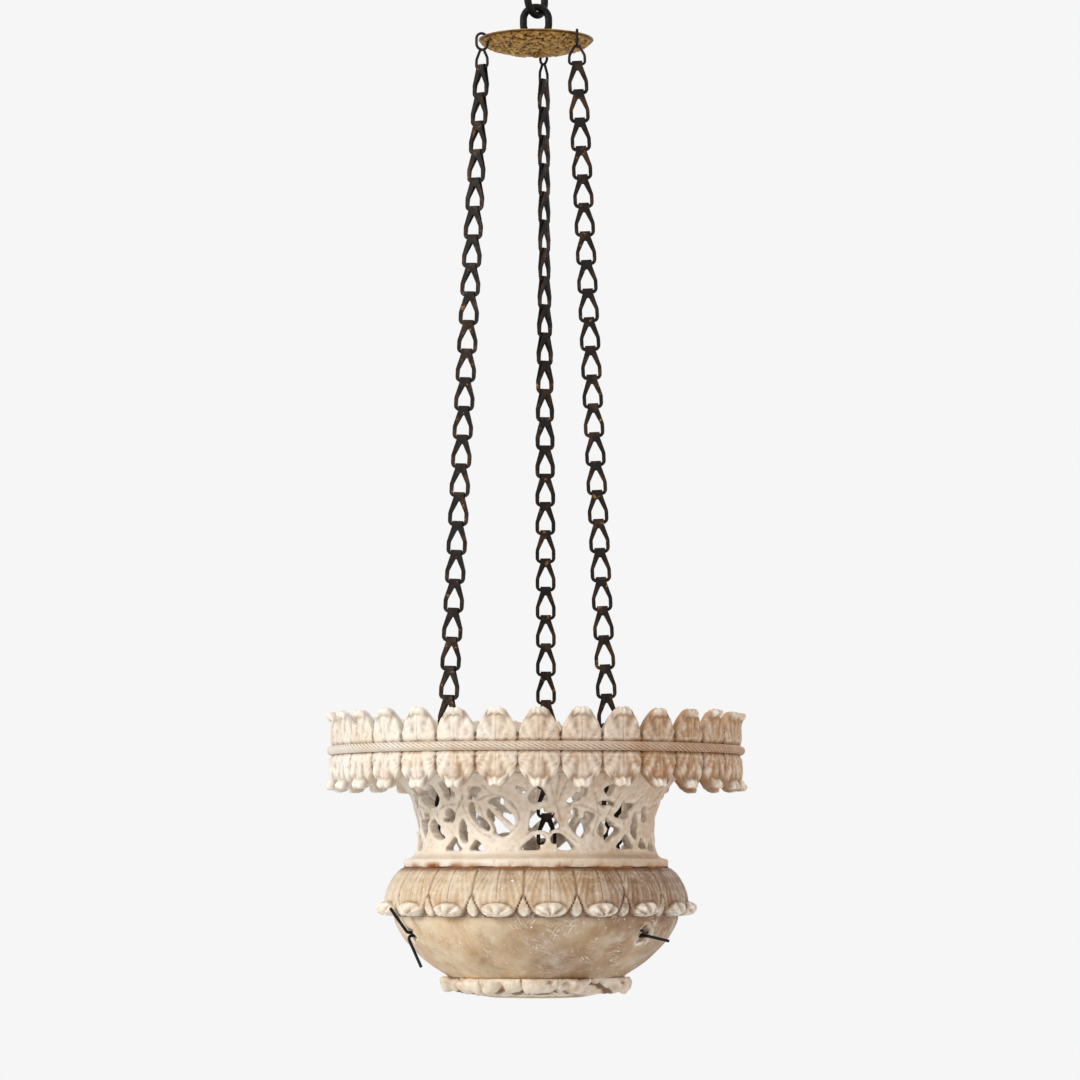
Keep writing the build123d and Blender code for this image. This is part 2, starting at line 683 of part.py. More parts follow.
# ---- foot rosette ----
rosette_top = bowl_bottom
rosette_bottom = bowl_bottom - rosette_height
rosette_notch = [(-rosette_notch_width / 2, rosette_bottom - 1), (rosette_notch_width / 2, rosette_bottom - 1),
                 (0, rosette_bottom + rosette_notch_depth)]
with BuildPart() as foot_rosette:
    add(turned([
        (0, rosette_top), (bowl_foot_radius, rosette_top), (rosette_radius - 1.5, rosette_top - 1),
        (rosette_radius, rosette_top - 6), (rosette_radius - 4, rosette_top - 13),
        (rosette_radius - 8, rosette_bottom + 1.5), (rosette_radius - 14, rosette_bottom + 1.5),
        (rosette_radius - 24, rosette_bottom + 7), (rosette_face_radius + 8, rosette_bottom + 5),
        (rosette_face_radius, rosette_bottom), (0, rosette_bottom),
    ]))
    add(tool_ring(radial_tool(rosette_notch, rosette_face_radius + 10, rosette_radius + 10),
                  rosette_leaf_count, leaf_first_azimuth + 180 / rosette_leaf_count), mode=Mode.SUBTRACT)
    with BuildSketch(Plane.XY.offset(z_at(rosette_bottom))):
        Circle(foot_bolt_diameter / 2 + foot_bolt_play)
    extrude(amount=rosette_height, mode=Mode.SUBTRACT)
    with BuildSketch(Plane.XY.offset(z_at(rosette_bottom))):
        Circle(foot_bolt_head_radius + 1)
    extrude(amount=foot_bolt_recess, mode=Mode.SUBTRACT)
keep(foot_rosette, "foot_rosette")

# ---- foot bolt, washer and nut ----
bolt_head_top = rosette_bottom + foot_bolt_recess
nut_top = bowl_floor + floor_washer_thickness + floor_nut_height
with BuildPart() as foot_bolt:
    with BuildSketch(Plane.XY.offset(z_at(bolt_head_top))):
        Circle(foot_bolt_head_radius)
    extrude(amount=-foot_bolt_head_height)
    with BuildSketch(Plane.XY.offset(z_at(bolt_head_top))):
        Circle(foot_bolt_diameter / 2)
    extrude(amount=nut_top + bolt_end_proud - bolt_head_top)
    fillet(faces().sort_by(Axis.Z)[0].edges(), radius=1.5)
keep(foot_bolt, "foot_bolt")

with BuildPart() as floor_washer:
    with BuildSketch(Plane.XY.offset(z_at(bowl_floor))):
        Circle(floor_washer_radius)
        Circle(foot_bolt_diameter / 2 + foot_bolt_play, mode=Mode.SUBTRACT)
    extrude(amount=floor_washer_thickness)
keep(floor_washer, "floor_washer")

with BuildPart() as floor_nut:
    with BuildSketch(Plane.XY.offset(z_at(bowl_floor + floor_washer_thickness))):
        RegularPolygon(floor_nut_across_flats / 2, 6, major_radius=False)
        Circle(foot_bolt_diameter / 2 + 0.05, mode=Mode.SUBTRACT)
    extrude(amount=floor_nut_height)
keep(floor_nut, "floor_nut")

# ---- candle dish, standing over the nut ----
skirt_bottom = bowl_floor + lift_seat
dish_plate = skirt_bottom + dish_skirt_height
socket_radius = candle_radius + candle_play
with BuildPart() as candle_dish:
    add(turned([
        (0, dish_plate), (dish_skirt_radius - dish_sheet, dish_plate),
        (dish_skirt_radius, skirt_bottom), (dish_skirt_radius + dish_sheet, skirt_bottom),
        (dish_skirt_radius + dish_sheet, dish_plate - 1), (dish_radius - 1, dish_plate + 1),
        (dish_radius, dish_plate + dish_lip_height), (dish_radius - dish_sheet, dish_plate + dish_lip_height),
        (dish_radius - dish_sheet - 1, dish_plate + 1 + dish_sheet),
        (socket_radius + dish_sheet, dish_plate + dish_sheet),
        (socket_radius + dish_sheet, dish_plate + socket_height),
        (socket_radius, dish_plate + socket_height), (socket_radius, dish_plate + dish_sheet),
        (0, dish_plate + dish_sheet),
    ]))
keep(candle_dish, "candle_dish")

candle_bottom = dish_plate + dish_sheet + lift_seat
with BuildPart() as candle:
    with BuildSketch(Plane.XY.offset(z_at(candle_bottom))):
        Circle(candle_radius)
    extrude(amount=candle_height)
    fillet(faces().sort_by(Axis.Z)[-1].edges(), radius=1.2)
keep(candle, "candle")

with BuildPart() as candle_wick:
    with BuildSketch(Plane.XY.offset(z_at(candle_bottom + candle_height))):
        Circle(wick_radius)
    extrude(amount=wick_height)
keep(candle_wick, "candle_wick")
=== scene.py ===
# %% [markdown]
# Alabaster bowl pendant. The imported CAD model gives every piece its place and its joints. This
# lesson dresses it: the carved stone is made again with its leaves, and every metal gets its finish.

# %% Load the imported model
import math
import bpy
import numpy as np
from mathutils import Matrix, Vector, noise


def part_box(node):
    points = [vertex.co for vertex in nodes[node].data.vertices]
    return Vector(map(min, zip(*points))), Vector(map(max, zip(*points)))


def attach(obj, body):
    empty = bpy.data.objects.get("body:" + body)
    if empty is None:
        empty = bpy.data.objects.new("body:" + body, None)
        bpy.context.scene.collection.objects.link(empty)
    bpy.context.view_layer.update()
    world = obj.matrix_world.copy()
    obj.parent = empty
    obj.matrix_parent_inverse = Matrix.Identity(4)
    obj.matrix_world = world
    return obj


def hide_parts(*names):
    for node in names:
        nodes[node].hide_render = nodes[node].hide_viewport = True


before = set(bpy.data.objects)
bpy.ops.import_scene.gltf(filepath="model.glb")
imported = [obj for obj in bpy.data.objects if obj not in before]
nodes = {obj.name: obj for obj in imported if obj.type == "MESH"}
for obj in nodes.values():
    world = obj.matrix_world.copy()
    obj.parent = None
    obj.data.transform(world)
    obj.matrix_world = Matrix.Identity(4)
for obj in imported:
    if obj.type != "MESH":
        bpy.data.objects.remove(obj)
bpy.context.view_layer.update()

# %% [markdown]
# The photograph was taken with a long lens from just over four metres away, level with the seam
# between neck and bowl, and tilted up a little. Heights of the stone are measured from that seam.
# Sizes are written in millimetres and divided by per_mm, because Blender counts in metres.

# %% Camera
per_mm = 1000
seam_drop = 910.8                 # from the hook in the ceiling down to the seam
camera_distance = 4212.8
camera_aside = 4.0
camera_tilt = 94.465              # in degrees: 90 looks level
camera_data = bpy.data.cameras.new("camera")
camera_data.lens = 140
camera_data.sensor_width = 36
camera = bpy.data.objects.new("camera", camera_data)
camera.location = (camera_aside / per_mm, -camera_distance / per_mm, -seam_drop / per_mm)
camera.rotation_euler = (math.radians(camera_tilt), 0, 0)
bpy.context.collection.objects.link(camera)
bpy.context.scene.camera = camera
bpy.context.scene.view_settings.view_transform = "Standard"
print("camera at", tuple(camera.location))


# %% [markdown]
# Colours are written as sRGB hex values, as a colour picker shows them, and turned to the linear
# values that the shader wants. One helper adds a node with its settings and its links.

# %% Colours and nodes
def linear(code):
    """A hex colour as linear red, green, blue and alpha."""
    values = [int(code[i:i + 2], 16) / 255 for i in (1, 3, 5)]
    return [v / 12.92 if v <= 0.04045 else ((v + 0.055) / 1.055) ** 2.4 for v in values] + [1]


def add_node(tree, kind, inputs=None, **settings):
    """Add a node, set it, and link or set its inputs."""
    node = tree.nodes.new(kind)
    for key, value in settings.items():
        setattr(node, key, value)
    for key, value in (inputs or {}).items():
        if isinstance(value, bpy.types.NodeSocket):
            tree.links.new(value, node.inputs[key])
        else:
            node.inputs[key].default_value = value
    return node


def empty_material(name):
    """A material with no nodes yet, and its tree."""
    material = bpy.data.materials.new(name)
    material.use_nodes = True
    material.node_tree.nodes.clear()
    return material, material.node_tree


print("white in linear", linear("#FFFFFF"))

# %% [markdown]
# The studio is a pale sweep. The floor is far below the hanging bowl. Rays from the camera, and
# those that metal mirrors, see the backdrop's own colour, so the lamps needn't overexpose it.
# Three square soft boxes light the bowl: the strongest stands at the upper left, a weak one fills
# the shadows from the right, and one behind parts the stone from the backdrop.

# %% Studio
backdrop = linear("#F6F6F6")
world = bpy.data.worlds.new("studio")
bpy.context.scene.world = world
world.use_nodes = True
sky = world.node_tree
sky.nodes.clear()
sky_path = add_node(sky, "ShaderNodeLightPath")
sky_seen = sky_path.outputs["Is Camera Ray"]
for ray in ("Is Glossy Ray", "Is Transmission Ray"):
    sky_seen = add_node(sky, "ShaderNodeMath", {0: sky_seen, 1: sky_path.outputs[ray]},
                        operation="MAXIMUM").outputs[0]
sky_light = add_node(sky, "ShaderNodeBackground", {"Color": linear("#FFFFFF"), "Strength": 0.60})
sky_view = add_node(sky, "ShaderNodeBackground", {"Color": backdrop, "Strength": 1.0})
sky_mix = add_node(sky, "ShaderNodeMixShader", {0: sky_seen, 1: sky_light.outputs[0], 2: sky_view.outputs[0]})
add_node(sky, "ShaderNodeOutputWorld", {"Surface": sky_mix.outputs[0]})

bpy.ops.object.select_all(action="DESELECT")
bpy.ops.mesh.primitive_plane_add(size=60, location=(0, 0, -2.3))
floor = bpy.context.object
floor.name = "studio_floor"
floor_paint, tree = empty_material("pale_matte_floor")
floor_matte = add_node(tree, "ShaderNodeBsdfDiffuse", {"Color": linear("#EDEDED"), "Roughness": 1.0})
floor_glow = add_node(tree, "ShaderNodeEmission", {"Color": backdrop, "Strength": 1.0})
floor_path = add_node(tree, "ShaderNodeLightPath")
floor_mix = add_node(tree, "ShaderNodeMixShader", {0: floor_path.outputs["Is Camera Ray"],
                                                   1: floor_matte.outputs[0], 2: floor_glow.outputs[0]})
add_node(tree, "ShaderNodeOutputMaterial", {"Surface": floor_mix.outputs[0]})
floor.data.materials.append(floor_paint)


def lamp(name, place, target, size, power):
    """A square soft box that faces a point."""
    data = bpy.data.lights.new(name, "AREA")
    data.size = size
    data.energy = power
    box = bpy.data.objects.new(name, data)
    box.location = place
    box.rotation_euler = (Vector(target) - Vector(place)).to_track_quat("-Z", "Y").to_euler()
    bpy.context.collection.objects.link(box)


bowl_middle = (0, 0, -0.85)
lamp("key_soft_box", (-2.6, -2.1, 0.45), bowl_middle, 1.2, 74)
lamp("fill_soft_box", (2.6, -2.0, -0.9), bowl_middle, 1.6, 17)
lamp("back_soft_box", (0.6, 2.4, 0.9), bowl_middle, 1.6, 22)


# %% [markdown]
# Alabaster is a fine-grained soft stone that lets light in a little. Here it is waxed and old:
# warm cream with tan clouds, browner towards its right side, partly a real stain and partly painted
# shade on the side away from the key lamp. The carving's hollows are brown, partly dirt and partly
# painted shade, and its proud edges pale, partly rubbing and partly painted highlight. The colours
# lie over one another like coats of paint, and each coat has a share between 0 and 1. The carved
# pieces carry three measures at each vertex, which say where dirt with painted shade, rubbing with
# painted highlight, and cement have marked it. The grain is 1.5 mm, as coarse as it needs to be to
# show, and a bump gives it and the chisel's 9 mm dints, because modelled dints would need millions
# of faces.

# %% Alabaster
def alabaster(name, cream, tan, brown, brown_most, scratched=0.0):
    """Waxed alabaster in three tones. The other two numbers are the shares of brown and scratches."""
    material, tree = empty_material(name)
    place = add_node(tree, "ShaderNodeTexCoord").outputs["Object"]
    axes = add_node(tree, "ShaderNodeSeparateXYZ", {0: place})
    # every pattern: size in mm, detail, roughness, distortion
    patterns = {"clouds": (60, 4.0, 0.55, 0.6), "drift": (95, 5.0, 0.6, 0.0), "milk": (30, 6.0, 0.66, 0.2),
                "rubs": (7, 4.0, 0.5, 0.0), "flecks": (3, 2.0, 0.5, 0.0), "patches": (24, 4.0, 0.5, 0.0),
                "chisel": (9, 3.0, 0.5, 0.0), "grain": (1.5, 3.0, 0.5, 0.0)}
    seen = {"height": axes.outputs[2]}
    for pattern, (size, detail, roughness, distortion) in patterns.items():
        seen[pattern] = add_node(tree, "ShaderNodeTexNoise", {
            "Vector": place, "Scale": per_mm / size, "Detail": detail, "Roughness": roughness,
            "Distortion": distortion}).outputs[0]
    # brown towards the right, partly a real stain and partly painted shade away from the
    # key lamp, with a cloudy edge
    seen["right"] = add_node(tree, "ShaderNodeMath", {0: seen["drift"], 1: 0.42, 2: axes.outputs[0]},
                             operation="MULTIPLY_ADD").outputs[0]
    # every share: what it follows, where it starts and is full, its least and its most
    ranges = {"tan": ("clouds", 0.38, 0.66, 0.0, 1.0), "brown": ("right", 0.13, 0.36, 0.0, brown_most),
              "milk": ("milk", 0.50, 0.75, 0.0, 0.42), "streaks": ("milk", 0.46, 0.30, 0.0, 0.45),
              "rubs": ("rubs", 0.3, 0.62, 0.35, 1.0), "flecks": ("flecks", 0.70, 0.74, 0.0, 0.8),
              "patches": ("patches", 0.47, 0.56, 0.0, 1.0),
              "low": ("height", -945 / per_mm, -962 / per_mm, 0.25, 1.0)}
    share = {}
    for coat, (pattern, start, full, least, most) in ranges.items():
        share[coat] = add_node(tree, "ShaderNodeMapRange", {0: seen[pattern], 1: start, 2: full, 3: least,
                                                            4: most}).outputs[0]
    for measure in ("dirt_and_shade", "stain", "wear_and_highlight"):
        share[measure] = add_node(tree, "ShaderNodeAttribute", attribute_name=measure).outputs["Fac"]
    # dirt with painted shade stays thin, rubbing with painted highlight is uneven, and scratches
    # are in patches and mostly low on the bowl
    for coat, one, other in (("dirt_and_shade_coat", share["dirt_and_shade"], 0.85), ("rubbed_and_highlit", share["wear_and_highlight"], share["rubs"]),
                             ("handled", share["low"], share["patches"])):
        share[coat] = add_node(tree, "ShaderNodeMath", {0: one, 1: other}, operation="MULTIPLY").outputs[0]
    coats = [(share["tan"], tan), (share["brown"], brown), (share["milk"], "#F5EBDC"),
             (share["streaks"], brown), (share["dirt_and_shade_coat"], "#6A4320"), (share["stain"], "#9C5A25"),
             (share["rubbed_and_highlit"], "#FBF1E2"), (share["flecks"], "#FFFDF8")]
    # scratches about 14 mm long and half a millimetre wide, in four directions: turn and seed
    directions = ((0.5, 0.0), (-0.7, 7.0), (1.1, 13.0), (-1.3, 29.0)) if scratched else ()
    for turn, seed in directions:
        lean = add_node(tree, "ShaderNodeMapping", {
            "Vector": place, "Location": (seed, seed, 0), "Rotation": (turn, turn, 0),
            "Scale": (22 / per_mm, 22 / per_mm, 0.9 / per_mm)}, vector_type="TEXTURE")
        lines = add_node(tree, "ShaderNodeTexNoise", {"Vector": lean.outputs[0], "Scale": 1.6, "Detail": 3.0})
        line_share = add_node(tree, "ShaderNodeMapRange", {0: lines.outputs[0], 1: 0.635, 2: 0.665, 3: 0.0,
                                                           4: scratched})
        kept_line = add_node(tree, "ShaderNodeMath", {0: line_share.outputs[0], 1: share["handled"]},
                             operation="MULTIPLY")
        coats.append((kept_line.outputs[0], "#F8F2E8"))
    stone = linear(cream)
    for amount, colour in coats:
        stone = add_node(tree, "ShaderNodeMix", {0: amount, 6: stone, 7: linear(colour)},
                         data_type="RGBA").outputs[2]
    rough_height = add_node(tree, "ShaderNodeMath", {0: seen["chisel"], 1: 3.0, 2: seen["grain"]},
                            operation="MULTIPLY_ADD")
    bump = add_node(tree, "ShaderNodeBump", {"Height": rough_height.outputs[0], "Strength": 0.5,
                                             "Distance": 0.6 / per_mm})
    surface = add_node(tree, "ShaderNodeBsdfPrincipled", {
        "Base Color": stone, "Roughness": 0.48, "IOR": 1.52, "Subsurface Weight": 0.1,
        "Subsurface Radius": (1.0, 0.6, 0.35), "Subsurface Scale": 3 / per_mm, "Normal": bump.outputs[0]})
    add_node(tree, "ShaderNodeOutputMaterial", {"Surface": surface.outputs[0]})
    return material


crown_stone = alabaster("waxed_alabaster_crown", "#F3EBDF", "#E7D2B5", "#B68452", 0.95)
neck_stone = alabaster("waxed_alabaster_neck", "#F3EADC", "#E9D7BE", "#C49A69", 0.85)
bowl_stone = alabaster("waxed_alabaster_bowl", "#E9D4B2", "#D4AF81", "#80501F", 0.95, scratched=0.7)
foot_stone = alabaster("waxed_alabaster_foot", "#E4D0AE", "#C9A172", "#9C6A36", 0.8)
print("stones", crown_stone.name, neck_stone.name, bowl_stone.name, foot_stone.name)


# %% [markdown]
# The chains, hooks and links are old wrought and strip iron, blackened, then browned, and rubbed to
# a warm bronze on the faces. Iron this dull mirrors little, so most of its colour comes from its
# brown skin, and a small metallic share gives the sheen. Rubbed places are also smoother.

# %% Iron
def rubbed_iron(name, dark, brown, rub, brown_from, rub_from):
    """Blackened iron with brown patches about 16 mm across and bright rubs half that size."""
    material, tree = empty_material(name)
    place = add_node(tree, "ShaderNodeTexCoord").outputs["Object"]
    seen = {}
    for pattern, size, detail, roughness in (("patches", 16, 5.0, 0.65), ("rubs", 7, 6.0, 0.7),
                                             ("pits", 1.2, 3.0, 0.5)):
        seen[pattern] = add_node(tree, "ShaderNodeTexNoise", {
            "Vector": place, "Scale": per_mm / size, "Detail": detail, "Roughness": roughness}).outputs[0]
    skin = linear(dark)
    for pattern, start, full, colour in (("patches", brown_from, brown_from + 0.12, brown),
                                         ("rubs", rub_from, rub_from + 0.07, rub)):
        share = add_node(tree, "ShaderNodeMapRange", {0: seen[pattern], 1: start, 2: full, 3: 0.0, 4: 1.0})
        skin = add_node(tree, "ShaderNodeMix", {0: share.outputs[0], 6: skin, 7: linear(colour)},
                        data_type="RGBA").outputs[2]
    polish = add_node(tree, "ShaderNodeMapRange", {0: seen["rubs"], 1: 0.35, 2: 0.7, 3: 0.72, 4: 0.42})
    bump = add_node(tree, "ShaderNodeBump", {"Height": seen["pits"], "Strength": 0.5,
                                             "Distance": 0.3 / per_mm})
    surface = add_node(tree, "ShaderNodeBsdfPrincipled", {
        "Base Color": skin, "Metallic": 0.25, "Roughness": polish.outputs[0],
        "Specular IOR Level": 0.22, "Normal": bump.outputs[0]})
    add_node(tree, "ShaderNodeOutputMaterial", {"Surface": surface.outputs[0]})
    return material


forged_iron = rubbed_iron("blackened_wrought_iron", "#1B1917", "#2D2620", "#5E4A36", 0.55, 0.66)
wire_iron = rubbed_iron("browned_iron_wire", "#201B17", "#382B1F", "#94744A", 0.52, 0.64)
strip_iron = rubbed_iron("browned_strip_iron", "#1D1713", "#402C1C", "#9A6B38", 0.50, 0.61)
bolt_steel = rubbed_iron("dull_steel", "#6B6862", "#57524B", "#8F8B84", 0.6, 0.6)
print("irons", forged_iron.name, wire_iron.name, strip_iron.name, bolt_steel.name)


# %% [markdown]
# The canopy and its finial are pressed brass, gilt on their high places. Gilding wears off slowly,
# and the hollows, which were never rubbed clean, have gone almost black. The dish for the candle
# is plain spun brass, paler and smoother.

# %% Brass
def brass(name, bright, mid, dark, rough):
    """Brass with tarnish in patches of about 8 mm, dark hollows and bright high places."""
    material, tree = empty_material(name)
    place = add_node(tree, "ShaderNodeTexCoord").outputs["Object"]
    tarnish = add_node(tree, "ShaderNodeTexNoise", {"Vector": place, "Scale": per_mm / 8, "Detail": 5.0,
                                                    "Roughness": 0.65})
    tarnish_share = add_node(tree, "ShaderNodeMapRange", {0: tarnish.outputs[0], 1: 0.4, 2: 0.62, 3: 0.0,
                                                          4: 1.0})
    # the dark share is patina in the hollows and, on the canopy's rim, painted shade; the bright share is
    # worn gilding and painted highlight
    dirt_and_shade_coat = add_node(tree, "ShaderNodeAttribute", attribute_name="dirt_and_shade")
    rub = add_node(tree, "ShaderNodeAttribute", attribute_name="wear_and_highlight")
    skin = linear(bright)
    for share, colour in ((tarnish_share.outputs[0], mid), (dirt_and_shade_coat.outputs["Fac"], dark),
                          (rub.outputs["Fac"], "#E3BD72")):
        skin = add_node(tree, "ShaderNodeMix", {0: share, 6: skin, 7: linear(colour)},
                        data_type="RGBA").outputs[2]
    polish = add_node(tree, "ShaderNodeMapRange", {0: tarnish.outputs[0], 1: 0.35, 2: 0.65, 3: rough - 0.1,
                                                   4: rough + 0.15})
    grain = add_node(tree, "ShaderNodeTexNoise", {"Vector": place, "Scale": per_mm / 1.0, "Detail": 3.0})
    bump = add_node(tree, "ShaderNodeBump", {"Height": grain.outputs[0], "Strength": 0.4,
                                             "Distance": 0.3 / per_mm})
    surface = add_node(tree, "ShaderNodeBsdfPrincipled", {
        "Base Color": skin, "Metallic": 0.9, "Roughness": polish.outputs[0], "Normal": bump.outputs[0]})
    add_node(tree, "ShaderNodeOutputMaterial", {"Surface": surface.outputs[0]})
    return material


gilt_brass = brass("antique_gilt_brass", "#C89A55", "#8E6330", "#24170B", 0.42)
dish_brass = brass("spun_brass", "#C7A468", "#A17F47", "#3A2A15", 0.32)
print("brasses", gilt_brass.name, dish_brass.name)


# %% [markdown]
# Every carved ring of the stone starts as a grid that is rolled up twice, like a torus: its columns
# go round the axis, and its rows go round the cut through the wall. A grid can be finer than
# Blender's own torus. Each vertex goes to its carved place, and the two seams are merged.
# "phi" is the angle from the front, positive to the right as the camera sees it.

# %% Carved rings
def deselect():
    """Let go of every object, so that an operator touches only what is picked next."""
    bpy.ops.object.select_all(action="DESELECT")


def store(piece, name, values):
    """Keep one number per vertex, for the materials."""
    layer = piece.data.attributes.new(name, "FLOAT", "POINT")
    layer.data.foreach_set("value", np.clip(values, 0, 1).astype(np.float32).ravel())


def grid_cells(mesh, across, up):
    """Column and row of every vertex of a new grid of size 1."""
    flat = np.empty(len(mesh.vertices) * 3, np.float32)
    mesh.vertices.foreach_get("co", flat)
    flat = flat.reshape(-1, 3)
    return np.rint((flat[:, 0] + 0.5) * across).astype(int), np.rint((flat[:, 1] + 0.5) * up).astype(int)


def carved_ring(name, phis, radii, heights, zero=-seam_drop, dirt_and_shade=None, wear_and_highlight=None):
    """A grid rolled both ways into a ring: one column per angle, one row per point of the cut."""
    around, along = radii.shape
    deselect()
    bpy.ops.mesh.primitive_grid_add(x_subdivisions=around, y_subdivisions=along, size=1)
    piece = bpy.context.object
    piece.name = name
    column, row = grid_cells(piece.data, around, along)
    pick = column % around * along + row % along
    turn = np.radians(phis - 90)[:, None]
    places = np.stack([radii * np.cos(turn), radii * np.sin(turn), heights + zero], axis=-1) / per_mm
    piece.data.vertices.foreach_set("co", places.reshape(-1, 3)[pick].astype(np.float32).ravel())
    if dirt_and_shade is not None:
        store(piece, "dirt_and_shade", dirt_and_shade.ravel()[pick])
    if wear_and_highlight is not None:
        store(piece, "wear_and_highlight", wear_and_highlight.ravel()[pick])
    bpy.ops.object.mode_set(mode="EDIT")
    bpy.ops.mesh.select_all(action="SELECT")
    bpy.ops.mesh.remove_doubles(threshold=0.000001)
    bpy.ops.object.mode_set(mode="OBJECT")
    bpy.ops.object.shade_smooth()
    print(name, "triangles", 2 * len(piece.data.polygons))
    return piece


def finish(piece, material, body, node):
    """Give a piece its material, its body and the CAD nodes that it stands for."""
    piece.data.materials.clear()
    piece.data.materials.append(material)
    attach(piece, body)
    if node:
        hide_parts(node)


print("a ring's zero height", -seam_drop)


# %% [markdown]
# Leaves repeat round each ring. A leaf's columns are counted from its vein, at 0, to the gaps beside
# it, at 1 and -1. Most forms on a leaf are worked out from two curves: a bell for a groove or a rib,
# and a dome for a rolled edge.

# %% Leaves round a ring
def leaf_columns(count, first, half):
    """Angles round the ring, closer together at each leaf's vein, and the place across the leaf."""
    across = [-u for u in reversed(half[1:])] + half + [1.0]
    spacing = 360 / count
    phis = np.array([first + spacing * (k + u / 2) for k in range(count) for u in across])
    return phis, np.tile(np.array(across), count), np.repeat(np.arange(count), len(across))


def bell(x, width):
    """1 at 0, falling smoothly to nothing a little past width."""
    return np.exp(-(x / width) ** 2)


def dome(x):
    """A half circle over -1 to 1, and 0 outside."""
    return np.sqrt(np.clip(1 - x * x, 0, 1))


print("a bell falls to", round(float(bell(1.0, 1.0)), 3), "at its width")


# %% [markdown]
# Hand work is never even. Smooth noise gives the small lumps that a chisel leaves, and random draws
# make each leaf a little taller, deeper or more folded than the next. The draws start from a fixed
# seed, so the object is the same each time.

# %% Unevenness of hand work
def lumps(phis, radii, heights, size, seed):
    """Smooth random relief between -1 and 1, with lumps about as wide as size in mm."""
    turn = np.radians(phis)[:, None]
    spots = zip((radii * np.cos(turn) / size + seed).ravel(), (radii * np.sin(turn) / size).ravel(),
                (heights / size).ravel())
    return np.array([noise.noise(Vector(spot)) for spot in spots]).reshape(radii.shape)


def cavities(relief, times=8):
    """How far each point stands proud of what is round it, in mm. Hollows are negative."""
    soft = relief.copy()
    for _ in range(times):
        soft = (soft + np.roll(soft, 1, axis=0) + np.roll(soft, -1, axis=0)) / 3
        wide = np.pad(soft, ((0, 0), (1, 1)), mode="edge")
        soft = (wide[:, :-2] + soft + wide[:, 2:]) / 3
    return relief - soft


hand_seed = 11
by_hand = np.random.default_rng(hand_seed)
print("hand work starts from seed", hand_seed)

# %% [markdown]
# The crown is a wide ring of leaves that stand up and hang down from a carved rope. They were cut
# by hand, so each differs a little from the next, and its tips roll outwards. One leaf could be
# modelled and copied, but then all would be alike. So the whole ring is worked out at once, with
# columns that lie closer together near each vein. The outline comes first: how far a leaf's edge
# falls short of its tip, in millimetres, at steps from the vein (0) to the gap (1).

# %% Outlines of the crown's leaves
crown_leaves = 31
first_vein = 0.9                  # degrees from the front
crown_half = [0, .035, .08, .15, .24, .34, .45, .56, .67, .78, .88, .95]
phis, u, leaf = leaf_columns(crown_leaves, first_vein, crown_half)
au = np.abs(u)
rope_height = 116.7
band_low, band_high = 112.4, 121.0
standing_tip, hanging_tip = 154.0, 77.4
top_steps = [0, .22, .36, .44, .53, .68, .85, 1.0]
top_drops = [0, 0.3, 1.0, 3.2, 6.4, 10.6, 17.2, 24.5]
foot_steps = [0, .24, .37, .46, .56, .70, .86, 1.0]
foot_rises = [0, 0.3, 1.0, 3.2, 6.2, 9.8, 14.6, 19.5]
tall = by_hand.uniform(-0.9, 0.7, crown_leaves)[leaf]
deep = by_hand.uniform(-0.7, 1.2, crown_leaves)[leaf]
proud = by_hand.uniform(-0.6, 0.6, crown_leaves)[leaf]
fold = by_hand.uniform(-0.8, 0.8, crown_leaves)[leaf]
lean = by_hand.uniform(-0.09, 0.09, crown_leaves)[leaf]
leaf_top = standing_tip + tall * (1 - au) - np.interp(au, top_steps, top_drops)
leaf_foot = hanging_tip + deep * (1 - au) + np.interp(au, foot_steps, foot_rises)
leaf_top -= 0.8 * np.cos(2 * np.pi * u * 2.9 + fold * 2) * (au < 0.5)
leaf_foot += 0.9 * np.cos(2 * np.pi * u * 2.6 + fold * 2) * (au < 0.5)
print("crown's leaves reach from", round(float(leaf_foot.min()), 1), "to", round(float(leaf_top.max()), 1))

# %% [markdown]
# A leaf's face is a sum of small forms: a swell from side to side, folds and finer ripples that fan
# out from the foot of the vein, the sunk vein, the rolled tip with its shadow line, a pocket in each
# gap, and the unevenness of hand work. What stands back from its surroundings is darkened, as dirt
# and painted shade, and what stands proud is lightened, as rubbing and painted highlight.

# %% Faces of the crown's leaves
crown_half_mm = 21.2              # from a vein to the gap beside it
standing_length, hanging_length = 33, 35


